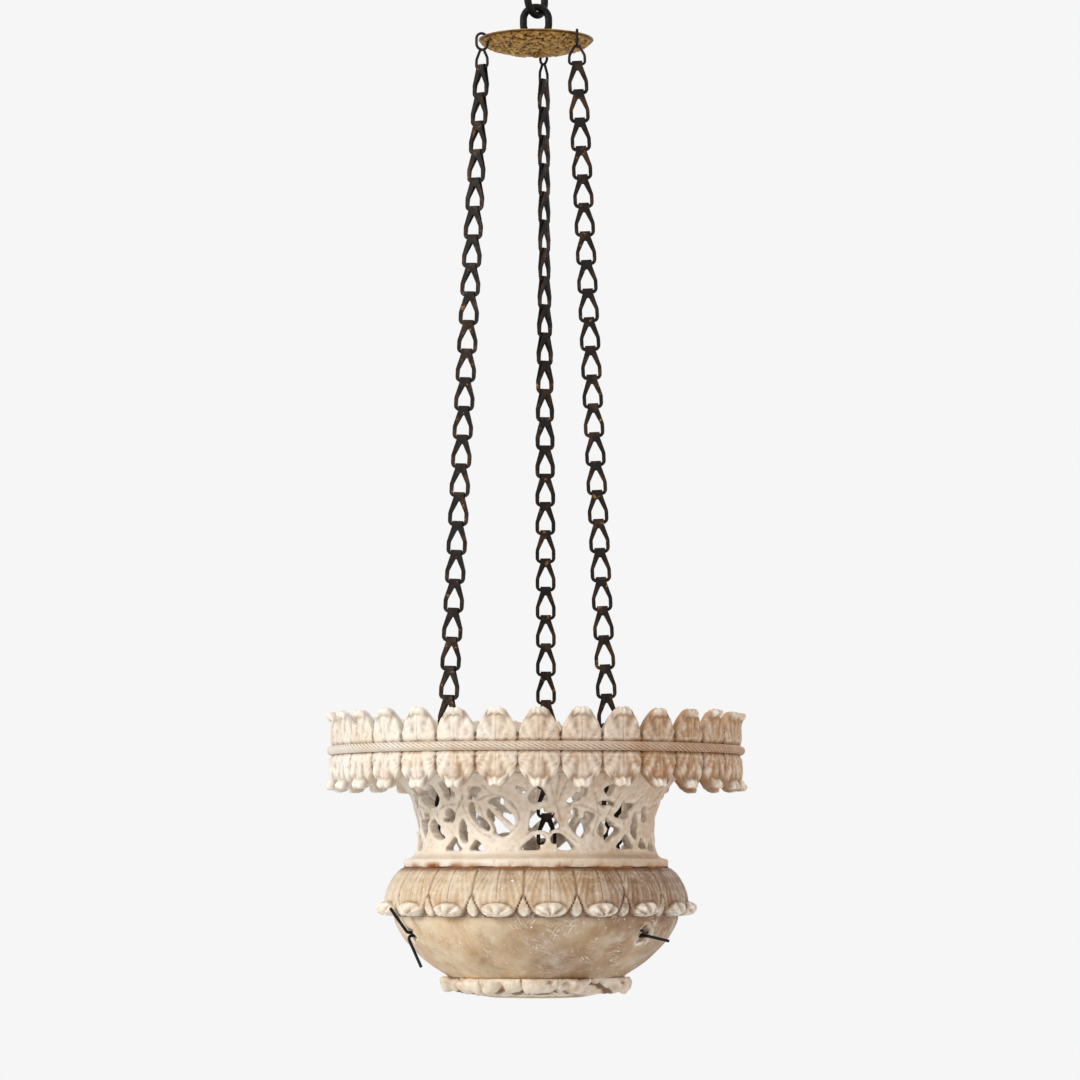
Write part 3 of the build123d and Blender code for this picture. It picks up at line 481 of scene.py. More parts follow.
def crown_face(h, up):
    """Outer radius, dirt with painted shade, and wear with painted highlight of the standing (up) or hanging
    leaves at heights h.
    """
    gap, hand = 1 - au[:, None], fold[:, None]
    if up:
        v = np.clip((h - band_high) / standing_length, 0, 1)
        width = np.interp(h, [121, 131, 136, 142, 147, 154], [1.0, 1.02, .95, .80, .66, .58])
        base = np.interp(v, [0, .12, .45, .75, 1], [203.4, 205.6, 205.4, 205.6, 206.6])
        edge = leaf_top[:, None] - h
        lip_half, roll, drop = 0.46, 4.4, 3.2
        fold_depth, ripple_depth, lip_lobes = 0.95, 0.20, 4.8
    else:
        v = np.clip((band_low - h) / hanging_length, 0, 1)
        width = np.interp(-h, [-112, -97, -92, -88, -84, -77], [1.0, 1.02, .93, .79, .66, .58])
        base = np.interp(v, [0, .12, .5, .8, 1], [203.6, 206.0, 206.8, 205.2, 206.4])
        edge = h - leaf_foot[:, None]
        lip_half, roll, drop = 0.47, 5.2, 3.8
        fold_depth, ripple_depth, lip_lobes = 1.15, 0.30, 4.0
    uu = u[:, None] - lean[:, None] * v
    aa = np.abs(uu)
    fan = np.clip(aa / width, 0, 1.08)
    swell = -0.6 * fan ** 2 - 1.7 * fan ** 8
    ray = aa / (0.30 + 0.82 * v)
    folds = fold_depth * np.cos(2 * np.pi * (1.15 * ray + 0.10 * hand)) * (0.35 + 0.65 * v)
    ripples = ripple_depth * np.cos(2 * np.pi * (4.3 * ray + 0.3 * hand))
    ripples *= np.clip(v * 6, 0.2, 1) * (1 - 0.5 * v)
    vein = -1.1 * bell(uu * crown_half_mm, 0.8) * np.clip(1.2 - v, 0, 1)
    lip = np.clip(1 - (aa / lip_half) ** 6, 0, 1)
    lobes = 0.80 + 0.20 * np.cos(2 * np.pi * uu * lip_lobes + 1.5 * hand)
    curl = roll * dome((edge - drop) / (drop + 0.4)) * lip * lobes
    under = -0.5 * bell(edge - 2.5 * drop, 1.8) * lip
    pocket = -2.4 * bell(gap, 0.08) * bell(edge - 2, 4)
    radius = base + swell + folds + ripples + vein + curl + under + pocket + proud[:, None]
    radius += 1.1 * lumps(phis, radius, h, 11.0, 3.0) + 0.6 * lumps(phis, radius, h, 4.0, 8.0)
    stand = cavities(radius)
    grime = 0.5 + 0.9 * lumps(phis, radius, h, 16.0, 21.0)
    # darker in hollows, along the vein, at the rope's foot and in the gaps: painted shade, with a little dirt
    # from grime
    dirt_and_shade = np.clip(-stand * 0.62, 0, 0.75) * (1 - 0.45 * lip * bell(edge - 8, 4))
    dirt_and_shade += 0.22 * bell(uu * crown_half_mm, 0.7) * np.clip(1.1 - v, 0, 1)
    dirt_and_shade += 0.35 * np.clip(1 - v * 11, 0, 1) + 0.35 * bell(gap, 0.07) * bell(edge - 4, 8)
    dirt_and_shade += 0.10 * np.clip(grime, 0, 1)
    # lighter where proud, along the edge and most on the rolled tips: rubbing and painted highlight
    wear_and_highlight = np.clip(stand * 0.6, 0, 0.7) + 0.15 * bell(edge, 1.5)
    wear_and_highlight += 0.6 * dome((edge - drop) / (drop + 1)) * lip * np.clip(1.2 - grime, 0.3, 1)
    return radius, np.clip(dirt_and_shade, 0, 1), wear_and_highlight


low_rows, band_rows, high_rows, back_rows, under_rows = 34, 5, 36, 10, 7
low_share = np.linspace(0, 1, low_rows) ** 1.25
high_share = 1 - np.linspace(1, 0, high_rows) ** 1.25
h_low = leaf_foot[:, None] + 0.3 + (band_low - leaf_foot[:, None] - 0.3) * low_share
h_high = band_high + (leaf_top[:, None] - 0.3 - band_high) * high_share
r_low, dirt_and_shade_low, wear_and_highlight_low = crown_face(h_low, False)
r_high, dirt_and_shade_high, wear_and_highlight_high = crown_face(h_high, True)
print("crown's widest radius", round(float(max(r_low.max(), r_high.max())), 1))


# %% [markdown]
# One cut through the crown, followed once round, gives the rows of the ring: up the hanging leaves,
# over the band behind the rope, up the standing leaves, down their backs, in along the web to the
# neck and out again, and down behind the hanging leaves to where it began.

# %% Crown from its cut
def all_round(points, columns):
    """Radii and heights of a few points, the same at every column."""
    points = np.array(points, float)
    return np.tile(points[:, 0], (columns, 1)), np.tile(points[:, 1], (columns, 1))


band_r = 203.6
back_top, back_foot, under_high = leaf_top[:, None] - 1.2, 119.5, 99.5
h_band = np.tile(np.linspace(113.6, 119.8, band_rows), (len(u), 1))
h_back = back_top - (back_top - back_foot) * np.linspace(0, 1, back_rows)
r_back = np.interp(h_back, [119, 135, 146, 155], [194.5, 195.5, 197.0, 200.5]) - 0.8 * dome(au[:, None])
r_web, h_web = all_round([
    (188, 117.6), (168, 113.5), (148, 109), (129, 105.2), (128, 104), (128, 98), (128, 93), (129, 92.3),
    (148, 92.4), (168, 97.5), (184, 101.8), (191, 102.0)], len(u))
h_under = under_high - (under_high - leaf_foot[:, None] - 1.4) * np.linspace(0, 1, under_rows)
r_under = np.interp(-h_under, [-100, -90, -77], [193.5, 194.5, 198.5])
heights = np.hstack([h_low, h_band, h_high, leaf_top[:, None] + 0.1, h_back, h_web, h_under,
                     leaf_foot[:, None] - 0.1])
radii = np.hstack([r_low, np.full_like(h_band, band_r), r_high, (r_high[:, -1:] + r_back[:, :1]) / 2, r_back,
                   r_web, r_under, (r_low[:, :1] + r_under[:, -1:]) / 2])
unseen = np.zeros((len(u), heights.shape[1] - low_rows - band_rows - high_rows))
# the band behind the rope is painted dark, as shade
dirt_and_shade = np.hstack([dirt_and_shade_low, np.full_like(h_band, 0.7), dirt_and_shade_high, unseen + 0.16])
wear_and_highlight = np.hstack([wear_and_highlight_low, np.zeros_like(h_band), wear_and_highlight_high, unseen])
crown = carved_ring("crown_of_leaves", phis, radii, heights, dirt_and_shade=dirt_and_shade, wear_and_highlight=wear_and_highlight)
finish(crown, crown_stone, "bowl_unit", "leaf_crown")

# %% [markdown]
# The rope is cut from the same stone. Eight strands lie round it, and each makes one turn in
# 50 mm, so from the front they slant down to the right. Eight separate cords would be mostly
# hidden, so one round bead gets the strands as ridges, with the grooves between darkened, as dirt
# and painted shade, and the ridges a little lighter, as rubbing and painted highlight.

# %% Rope
rope_radius = 4.3
rope_centre = 204.9
rope_lay = 50.0
rope_strands = 8
rope_phis = np.linspace(0, 360, 1248, endpoint=False)
rope_around = np.linspace(0, 2 * np.pi, 40, endpoint=False)[None, :]
turns = round(2 * math.pi * rope_centre / rope_lay)
strand = rope_strands / 2 * (rope_around + np.radians(rope_phis)[:, None] * turns)
ridge = np.abs(np.sin(strand))
rope_r = rope_radius * (0.76 + 0.28 * ridge ** 0.6)
rope = carved_ring("carved_rope", rope_phis, rope_centre + rope_r * np.cos(rope_around),
                   rope_height + rope_r * np.sin(rope_around), dirt_and_shade=0.95 * (1 - ridge) ** 1.6,
                   wear_and_highlight=0.35 * ridge ** 3)
finish(rope, crown_stone, "bowl_unit", None)

# %% [markdown]
# The neck is pierced: the carver cut right through the wall and left scrolls and leaves. Its cut
# places are drawn here as a few points each, in degrees from the front and millimetres above the
# seam. The photograph doesn't show the sides and the back, so three turned copies of the front's
# panels fill them.

# %% Openings of the neck
front_openings = [
    [(-48.5, 17.5), (-37.5, 17.5), (-40, 22), (-42.5, 31), (-45.5, 24)],
    [(-33, 17.5), (-23.5, 17.5), (-27, 23), (-29.5, 27.5), (-31.3, 23)],
    [(-37, 47.5), (-35.5, 43), (-34, 37), (-35.2, 31), (-34.5, 26), (-36.8, 25), (-39, 30), (-39.5, 38),
     (-38.5, 44)],
    [(-51, 46.5), (-47.5, 49), (-48, 54), (-46, 58), (-43.5, 57.2), (-41.5, 54), (-42.5, 49), (-43.8, 44.5)],
    [(-31.5, 64.5), (-29.8, 62.5), (-30.3, 57), (-29, 51), (-25.5, 47), (-23.2, 42), (-22.2, 37.5),
     (-24.5, 36), (-28.5, 41), (-31.5, 48), (-33, 56)],
    [(-23, 57.5), (-21.3, 53.5), (-19.3, 48.5), (-17, 44.5), (-15.5, 39.5), (-12.2, 34.8), (-14, 32),
     (-17.5, 31.2), (-20, 33.5), (-20.3, 39), (-21.7, 45), (-23.6, 51)],
    [(-22.5, 63.5), (-20.5, 67), (-17.5, 68.3), (-14.8, 66.3), (-15.6, 61.5), (-13.8, 56), (-11, 51),
     (-9.9, 46), (-10.8, 41), (-12.6, 45.5), (-15.8, 50), (-17.2, 54), (-19.3, 59)],
    [(-30.8, 77.5), (-26, 78.5), (-24.5, 76.5), (-27.3, 73), (-28, 68.5), (-32.5, 67), (-31.2, 71)],
    [(-45.7, 83), (-41.5, 84), (-40.5, 76), (-39, 71.5), (-42, 70), (-43.6, 66.5), (-45.7, 70), (-44.8, 77)],
    [(-7, 18), (-6, 21.5), (-3, 26), (-0.5, 31), (2, 31.8), (4, 30), (4.6, 26.5), (3.4, 23.5), (1.3, 23.3),
     (2, 18)],
    [(10.5, 18), (10.3, 24.3), (8.5, 24), (7.2, 27), (8, 32), (10, 33.5), (13, 31.6), (16, 26), (19.8, 18.5)],
    [(-2, 56), (-0.8, 52), (0.8, 56.5), (2.2, 54), (3.2, 58.5), (3.8, 53), (7, 53.5), (9, 52.3), (8, 49.5),
     (10, 44.5), (11.8, 40), (8.3, 38), (6.5, 34.6), (4.5, 37), (1, 37.6), (-3.5, 36), (-2.8, 43)],
    [(0, 79), (2.3, 77), (4, 72), (5, 66), (2, 65), (-2.6, 63.5), (-3.6, 69), (-1.5, 74.5)],
    [(-9, 78.3), (-6.6, 78), (-4.8, 73), (-7, 74.5)],
    [(15, 67.5), (17, 68), (18, 73), (19.8, 71.5), (20.5, 68), (17.4, 65), (15.5, 61.5), (14.2, 64)],
    [(20, 78.5), (22.6, 78.5), (23.2, 73), (22.3, 69.5), (20.8, 71.5)],
    [(18.2, 58), (19.6, 57), (19.4, 52.5), (20.3, 50.5), (18.4, 49.8), (17, 53), (17, 56)],
    [(17, 48), (20.5, 46.7), (22.8, 47.7), (23.6, 50), (23.3, 54.6), (26, 53.5), (28.8, 52), (27.5, 47),
     (25.8, 43), (26.2, 37.5), (24, 34), (22.8, 29.3), (21, 32), (18.5, 35.5), (16.1, 41), (15.9, 46)],
    [(30.4, 36), (32, 42), (33.2, 44.8), (34, 40), (34.2, 34), (33.3, 30.3), (31, 34)],
    [(35.4, 48.5), (36.6, 45.5), (39.6, 43.5), (40.2, 40), (44.6, 38), (42, 33.5), (39, 31.3), (36.6, 25.8),
     (34.2, 28.8), (36.3, 34), (37.8, 38.5), (35, 43)],
    [(44, 65.2), (46, 62), (52, 63.2), (51, 59), (48.4, 56), (49.6, 51), (47.5, 48.4), (43, 49.8),
     (40, 51), (41.2, 54), (43.5, 58)],
    [(30.8, 77), (34, 80.5), (35.4, 82), (36, 76), (34.8, 70.3), (33, 73)],
    [(29.8, 64), (32.8, 59.8), (34.6, 62.5), (38.6, 61.5), (38, 64), (34, 65)],
    [(41, 19.5), (53.5, 19.5), (51, 24.5), (48.5, 33), (46, 27)],
    [(55.5, 55.5), (56.6, 48), (58, 42), (56.5, 37), (57.6, 32), (56, 28.4), (53.5, 31), (52, 36),
     (53, 43), (54, 50)],
    [(60, 59), (63, 60.5), (65, 56), (67, 49), (65, 45.5), (61.5, 47)],
    [(58, 20), (68, 20), (65, 24), (62, 29.5), (60, 25)],
    [(-66, 74), (-62, 78), (-58, 74), (-54, 79), (-51.6, 82.5), (-50, 76), (-49.6, 68), (-53.5, 61.5),
     (-58, 58.5), (-63, 62), (-65.5, 68)],
    [(-57, 48), (-56, 44), (-53, 39), (-53.5, 34.5), (-49, 29.5), (-53, 28.3), (-58, 31.5), (-61.5, 38),
     (-61.5, 44)],
]
back_copies = [o for o in front_openings if -51 < min(p[0] for p in o) and max(p[0] for p in o) < 29]
copy_turns = (117.5, 193.5, 269.5)
openings = list(front_openings)
for turned in copy_turns:
    openings += [[(a + turned, h) for a, h in outline] for outline in back_copies]
print("openings in the neck", len(openings))


# %% [markdown]
# A few points per opening would give straight-sided holes, so their corners are cut, twice over,
# until they look like a carver's curve. How far a place is from such a line, counted negative
# inside it, says what to cut, where the edges go and where they are rounded.

# %% Distance from the openings
def rounded(outline, times=2):
    """Corners cut twice, so that a few points make a carver's curve."""
    points = np.array(outline, float)
    for _ in range(times):
        after = np.roll(points, -1, axis=0)
        points = np.stack([0.78 * points + 0.22 * after, 0.22 * points + 0.78 * after], axis=1).reshape(-1, 2)
    return points


def signed_distance(s, h, outline):
    """Distance of points to an outline, negative inside it, and the nearest point on it."""
    start = outline
    way = np.roll(outline, -1, axis=0) - outline
    p = np.stack([s, h], axis=-1)[:, None, :]
    t = np.clip(((p - start) * way).sum(-1) / np.maximum((way ** 2).sum(-1), 1e-9), 0, 1)
    foot = start + t[..., None] * way
    gap = np.linalg.norm(p - foot, axis=-1)
    nearest = gap.argmin(axis=1)
    each = np.arange(len(s))
    end = start + way
    rise = end[:, 1] - start[:, 1]
    crosses = ((start[:, 1] > h[:, None]) != (end[:, 1] > h[:, None])) & \
        (s[:, None] < (end[:, 0] - start[:, 0]) * (h[:, None] - start[:, 1])
         / np.where(np.abs(rise) < 1e-9, 1e-9, rise) + start[:, 0])
    inside = crosses.sum(axis=1) % 2 == 1
    return np.where(inside, -1, 1) * gap[each, nearest], foot[each, nearest]


print("points of the first opening", len(front_openings[0]), "and rounded", len(rounded(front_openings[0])))

# %% [markdown]
# The neck is unrolled into a flat sheet, with s round it and h up it, both in millimetres. Its rows
# lie closer together near the flange, where the curve is tight. For each vertex of the sheet the
# nearest line is found, and the place on that line.

# %% Distances over the unrolled neck
neck_radius = 119.0
mm_per_degree = math.pi / 180 * neck_radius
whole = 360 * mm_per_degree
unroll = np.array([mm_per_degree, 1.0])


def short_way(s):
    """A distance round the neck, never more than half of it."""
    return (s + whole / 2) % whole - whole / 2


columns, rows = 720, 79
neck_phi = np.linspace(-180, 180, columns, endpoint=False)
neck_h = np.concatenate([[0.8, 3.0, 6.6, 8.6, 9.2, 9.6, 10.6, 12.4, 14.6], np.linspace(16, 92, rows - 9)])
grid_phi, grid_h = np.meshgrid(neck_phi, neck_h, indexing="ij")
flat_s, flat_h = grid_phi.ravel() * mm_per_degree, grid_h.ravel()
widen = 1.0                       # cut a little past the drawn line
margin = 7.0                      # look no farther than this from a line
reach = np.full(flat_s.shape, 30.0)
target = np.stack([flat_s, flat_h], axis=-1)
for outline in openings:
    line = rounded(outline) * unroll
    middle = line[:, 0].mean()
    local = np.stack([middle + short_way(flat_s - middle), flat_h], axis=-1)
    near = ((local > line.min(axis=0) - margin) & (local < line.max(axis=0) + margin)).all(axis=1)
    index = np.nonzero(near)[0]
    gap, foot = signed_distance(local[index, 0], local[index, 1], line)
    better = gap < reach[index]
    reach[index[better]] = gap[better]
    outwards = (local[index] - foot) / np.where(np.abs(gap) < 1e-6, 1, gap)[:, None]
    target[index[better]] = (foot + outwards * widen)[better]
reach -= widen
print("cut share of the neck", round(float((reach < 0).mean()), 3))

# %% [markdown]
# The straps between the openings are rounded towards their edges, and many carry a sunk vein. The
# veins are drawn like the openings, as open lines with a depth. Their cut is added up for each
# vertex of the sheet.

# %% Veins of the straps
strap_veins = [
    ([(-16, 31), (-10, 37), (-7.5, 47), (-9, 58), (-14, 68), (-20, 72), (-27, 66)], 0.9),
    ([(9.5, 90), (9.2, 76), (8.8, 64), (10.5, 52), (13, 40)], 0.8), ([(5.5, 86), (7.5, 72), (8.5, 62)], 0.6),
    ([(13.5, 86), (11.5, 74), (9.8, 64)], 0.6), ([(-4, 33), (1, 40.5), (6, 36)], 0.7),
    ([(6, 36), (10, 38.5), (15, 33), (20, 25)], 0.7), ([(14, 60), (20, 62), (27, 57), (32, 52)], 0.8),
    ([(27, 72), (30, 60), (31, 50), (29, 40), (28, 32)], 0.8), ([(40, 72), (38, 62), (36, 52)], 0.7),
    ([(-23, 80), (-20, 72)], 0.7), ([(-36, 60), (-33, 46), (-28, 36), (-22, 30)], 0.8),
    ([(-40, 62), (-46, 62), (-54, 56), (-62, 54)], 0.8), ([(-27, 62), (-26.5, 52), (-24, 46)], 0.6),
    ([(-20, 62), (-17, 56), (-14, 47), (-12, 38)], 0.6), ([(46, 44), (52, 60), (56, 70)], 0.8),
]


def smooth_line(points):
    """An open line with its corners cut twice."""
    points = np.array(points, float)
    for _ in range(2):
        before, after = points[:-1], points[1:]
        between = np.stack([0.75 * before + 0.25 * after, 0.25 * before + 0.75 * after], axis=1)
        points = np.vstack([points[:1], between.reshape(-1, 2), points[-1:]])
    return points


vein_cut = np.zeros(len(flat_s))
for line, depth in strap_veins:
    for turned in (0,) + copy_turns:
        points = (smooth_line(line) + (turned, 0)) * unroll
        middle = points[:, 0].mean()
        local_s = middle + short_way(flat_s - middle)
        near = np.nonzero((np.abs(local_s - middle) < 45) & (flat_h > points[:, 1].min() - 3))[0]
        p = np.stack([local_s[near], flat_h[near]], axis=-1)
        best = np.full(len(near), 9.0)
        for a, b in zip(points[:-1], points[1:]):
            way = b - a
            t = np.clip(((p - a) * way).sum(-1) / (way ** 2).sum(), 0, 1)
            best = np.minimum(best, np.linalg.norm(p - a - t[:, None] * way, axis=-1))
        vein_cut[near] = np.maximum(vein_cut[near], depth * bell(best, 1.5))
print("veined share of the neck", round(float((vein_cut > 0.1).mean()), 3))


# %% [markdown]
# Vertices close to an edge are moved onto it, so that the cut follows the drawn line and not the
# grid's steps. Then the outer radius is put together: the neck's curve, the rounded edges, the
# veins, the unevenness of hand work and the chips along the flange. The cement has stained the
# stone above the seam, most of all at the front left.

# %% Neck relief
def neck_profile(h):
    """Outer and inner radius of the neck at a height."""
    outer = np.interp(
        h, [0.8, 3.0, 6.6, 8.6, 9.2, 9.6, 10.6, 12.4, 14.6, 18, 24, 36, 48, 58, 66, 74, 82, 88, 92],
        [131.3, 132.2, 132.2, 131.2, 129.5, 126.5, 124.2, 122.4, 121.2, 120.0, 119.2, 118.6, 119.6, 121.6,
         124.4, 128.6, 134.0, 139.0, 142.0])
    inner = np.interp(h, [0.8, 16, 36, 52, 66, 80, 92], [109.0, 109.0, 109.2, 110.2, 114.0, 121.5, 130.0])
    return outer, inner


snap = 0.72                       # edges take in vertices up to this far away, in mm
snapped_s, snapped_h = flat_s.copy(), flat_h.copy()
at_edge = np.abs(reach) < snap
snapped_s[at_edge] += short_way(target[at_edge, 0] - flat_s[at_edge])
snapped_h[at_edge] = target[at_edge, 1]
in_carving = np.clip((flat_h - 14) / 3, 0, 1)
rounding = 1.5 * np.clip(1 - reach / 3.0, 0, 1) ** 2 * in_carving
hand = 0.45 * np.sin(flat_s / 9.1 + flat_h / 13) + 0.35 * np.sin(flat_s / 4.3 - flat_h / 6.1)
rough = np.array([noise.noise(Vector((s / 5, h / 5, 2))) + 0.5 * noise.noise(Vector((s / 2.2, h / 2.2, 7)))
                  for s, h in zip(flat_s, flat_h)])
slow = np.array([noise.noise(Vector((s / 16.0, 0.03, 9.0))) for s in flat_s])
chips = np.clip(rough * 1.6 - 0.55, 0, 1) * (flat_h < 9.3)
outer = neck_profile(snapped_h)[0] - rounding - vein_cut + (hand + 0.55 * rough) * in_carving - 3.2 * chips
stand = cavities((outer - neck_profile(flat_h)[0]).reshape(columns, rows), 6).ravel() * in_carving
# darker along the veins, in the groove above the flange, in hollows and under the crown: painted shade, with
# some dirt
neck_dirt_and_shade = 0.2 * np.clip(vein_cut, 0, 1) + 0.25 * bell(flat_h - 11.5, 1.8) + np.clip(-stand, 0, 0.6) \
    + 0.2 * np.clip((flat_h - 84) / 8, 0, 1)
# the straps' outer faces are lightened, their edges and the flange's lip more: painted light and highlight,
# with some rubbing
neck_wear_and_highlight = (0.26 + 0.42 * np.clip(1 - reach / 2.4, 0, 1)) * in_carving + 0.6 * bell(flat_h - 8.4, 1.4) \
    + np.clip(stand, 0, 0.6)
stain_at, stain_half = -46, 19    # degrees from the front
neck_stain = np.clip(2.2 * slow + 0.1, 0, 1) * bell(flat_h - 0.8, 2.2) + np.clip(2.4 * slow + 0.85, 0, 1) \
    * bell(flat_h - 1.0, 4.2) * bell(flat_s / mm_per_degree - stain_at, stain_half)
turn = np.radians(snapped_s / mm_per_degree - 90)
outside = np.stack([outer * np.cos(turn), outer * np.sin(turn), snapped_h - seam_drop], axis=-1) / per_mm
print("neck radius from", round(float(outer.min()), 1), "to", round(float(outer.max()), 1))

# %% [markdown]
# The sheet itself is a grid whose vertices go to these places. A face counts as open when a corner
# is well inside an opening, or when no corner is well outside one.

# %% Neck sheet
deselect()
bpy.ops.mesh.primitive_grid_add(x_subdivisions=columns, y_subdivisions=rows - 1, size=1)
neck = bpy.context.object
neck.name = "pierced_neck"
mesh = neck.data
column, row = grid_cells(mesh, columns, rows - 1)
lookup = (column % columns) * rows + row
mesh.vertices.foreach_set("co", outside[lookup].astype(np.float32).ravel())
for measure, values in (("dirt_and_shade", neck_dirt_and_shade), ("wear_and_highlight", neck_wear_and_highlight), ("stain", neck_stain)):
    store(neck, measure, values[lookup])
corner = np.empty(len(mesh.polygons) * 4, np.int32)
mesh.polygons.foreach_get("vertices", corner)
corner_reach = reach[lookup][corner].reshape(-1, 4)
open_cell = (corner_reach.min(axis=1) < -snap) | (corner_reach.max(axis=1) < snap)
print("cells to cut", int(open_cell.sum()), "of", len(open_cell))

# %% [markdown]
# The open faces are selected and deleted, the sheet's two ends are merged, and Solidify gives it a
# wall. A Boolean for every opening would do the same, but it is slow and leaves thin slivers.

# %% Cut the neck and give it its wall
bpy.ops.object.mode_set(mode="EDIT")
bpy.ops.mesh.select_mode(type="FACE")
bpy.ops.mesh.select_all(action="DESELECT")
bpy.ops.object.mode_set(mode="OBJECT")
mesh.polygons.foreach_set("select", open_cell)
bpy.ops.object.mode_set(mode="EDIT")
bpy.ops.mesh.delete(type="FACE")
bpy.ops.mesh.select_all(action="SELECT")
bpy.ops.mesh.remove_doubles(threshold=0.00004)
bpy.ops.mesh.delete_loose()
bpy.ops.object.mode_set(mode="OBJECT")
half = len(mesh.vertices)
sheet = np.empty(half * 3, np.float32)
mesh.vertices.foreach_get("co", sheet)
sheet = sheet.reshape(-1, 3)
wall_thickness = 9
wall = neck.modifiers.new("wall", "SOLIDIFY")
wall.thickness = wall_thickness / per_mm
wall.offset = -1
bpy.ops.object.modifier_apply(modifier="wall")
print("neck vertices", half, "before Solidify and", len(mesh.vertices), "after it")

# %% [markdown]
# Solidify moves each vertex along its own normal, so the back of the wall repeats every dent of the
# front. The carver left the inside plain, so its vertices, which Solidify adds after the first
# ones, go to a plain curve. The inside is painted darker than the outside, as shade.

# %% Inner face of the neck
solid_places = np.empty(len(mesh.vertices) * 3, np.float32)
mesh.vertices.foreach_get("co", solid_places)
solid_places = solid_places.reshape(-1, 3)
inner_radius = neck_profile(sheet[:, 2] * per_mm + seam_drop)[1] / per_mm
backs = sheet.copy()
backs[:, :2] *= (inner_radius / np.hypot(sheet[:, 0], sheet[:, 1]))[:, None]
solid_places[half:2 * half] = backs
mesh.vertices.foreach_set("co", solid_places.ravel())
dirt_and_shade_values = np.empty(len(mesh.vertices), np.float32)
mesh.attributes["dirt_and_shade"].data.foreach_get("value", dirt_and_shade_values)
# the inner face is painted darker, as shade
dirt_and_shade_values[half:2 * half] = 0.72 + 0.3 * dirt_and_shade_values[half:2 * half]
mesh.attributes["dirt_and_shade"].data.foreach_set("value", np.clip(dirt_and_shade_values, 0, 1))
mesh.update()
bpy.ops.object.mode_set(mode="EDIT")
bpy.ops.mesh.select_all(action="SELECT")
bpy.ops.mesh.normals_make_consistent(inside=False)
bpy.ops.object.mode_set(mode="OBJECT")
bpy.ops.object.shade_smooth_by_angle(angle=math.radians(50))
finish(neck, neck_stone, "bowl_unit", "pierced_collar")
print("neck wall at least", round(float((outer - neck_profile(snapped_h)[1]).min()), 1), "mm thick")

# %% [markdown]
# The bowl is hollow. Its shoulder carries eighteen leaves, with a narrow leaf behind each gap. The
# two are surfaces at different radii, and the front leaf's outline says which of them shows. "fall"
# is how far a row lies below the seam.

# %% Outlines of the shoulder leaves
bowl_leaves = 18
first_shoulder_vein = 5.4         # degrees from the front
bowl_half = [0, .03, .07, .13, .2, .28, .36, .44, .5, .56, .62, .68, .74, .8, .86, .92, .97]
bowl_half_mm = 26.0               # from a vein to the gap beside it
phis, u, leaf = leaf_columns(bowl_leaves, first_shoulder_vein, bowl_half)
uu, aa = u[:, None], np.abs(u)[:, None]
tall = by_hand.uniform(-1.0, 1.0, bowl_leaves)[leaf][:, None]
proud = by_hand.uniform(-1.2, 0.8, bowl_leaves)[leaf][:, None]
fall = np.concatenate([np.linspace(0.0, 28, 22), np.linspace(29, 47.6, 27)])
fall = np.tile(fall[::-1], (len(u), 1))
h_leaf = -fall
outline_u = np.interp(fall, [0, 8, 18, 26, 32, 37, 41, 44, 46.5, 47.4],
                      [.965, .97, .97, .95, .89, .78, .68, .58, .38, 0.0])
on_leaf = np.clip((outline_u - aa) / 0.035, 0, 1)
gap_half = np.interp(fall, [0, 27, 33, 38, 43, 46, 47.3], [0, 0, .13, .23, .22, .12, 0])
gap_leaf = np.clip((gap_half - (1 - aa)) / 0.04, 0, 1)
shoulder = np.interp(fall, [0, 4, 8, 16, 24, 30, 38, 44, 47.6],
                     [133.6, 138.6, 142.0, 146.8, 150.0, 151.2, 151.8, 151.0, 149.0])
behind = np.interp(fall, [0, 8, 16, 24, 32, 40, 47.6], [132.4, 140.8, 145.4, 148.2, 148.2, 146.4, 142.8])
print("shoulder leaves", bowl_leaves, "fall to", float(fall.max()), "mm below the seam")

# %% [markdown]
# These leaves are a sum of small forms like the crown's: fine rays, a sunk vein with a rib beside
# it, and a tip that curls out like a small shell, with flutes that spread from its middle. The stone
# is darkened under the neck and round the leaves, partly dirt and partly painted shade, and the
# curled tips are lightened most, partly rubbing and partly painted highlight.

# %% Faces of the shoulder leaves
along = uu / np.maximum(outline_u, 0.05)
across = np.clip(np.abs(along), 0, 1)
swell = 0.7 * np.cos(2 * np.pi * across * 0.9) - 1.6 * across ** 6
spread = along / (0.42 + 0.58 * np.clip(fall / 38, 0, 1))
rays = 0.38 * np.cos(2 * np.pi * spread * 3.1 + 0.7 * tall) + 0.16 * np.cos(2 * np.pi * spread * 7.4)
rays *= np.clip(fall / 6, 0, 1) * np.clip((40 - fall) / 8, 0, 1)
vein = -1.1 * bell(uu * bowl_half_mm, 0.7) * np.clip((35 - fall) / 5, 0, 1)
rib = 0.25 * bell(aa * bowl_half_mm - 2.1, 1.1) * np.clip((35 - fall) / 6, 0, 1)
tip_u, tip_h = uu / 0.58, (h_leaf + 40.3 - 0.6 * tall) / 7.0
tip = np.clip(1 - np.abs(tip_u) ** 2.6 - np.abs(tip_h) ** 2.2, 0, 1)
flutes = 0.74 + 0.26 * np.cos(np.arctan2(tip_h + 0.9, tip_u) * 9 + tall)
curl = (8.6 + proud) * tip ** 0.42 * flutes
leaf_r = shoulder + swell + rays + vein + rib + curl
r_leaf = behind + (leaf_r - behind) * on_leaf + (1 - on_leaf) * gap_leaf * 3.6
r_leaf += 0.35 * lumps(phis, r_leaf, h_leaf, 8.0, 4.0) \
    + (0.30 + 0.8 * (tip > 0)) * lumps(phis, r_leaf, h_leaf, 3.0, 9.0)
stand = cavities(r_leaf, 7)
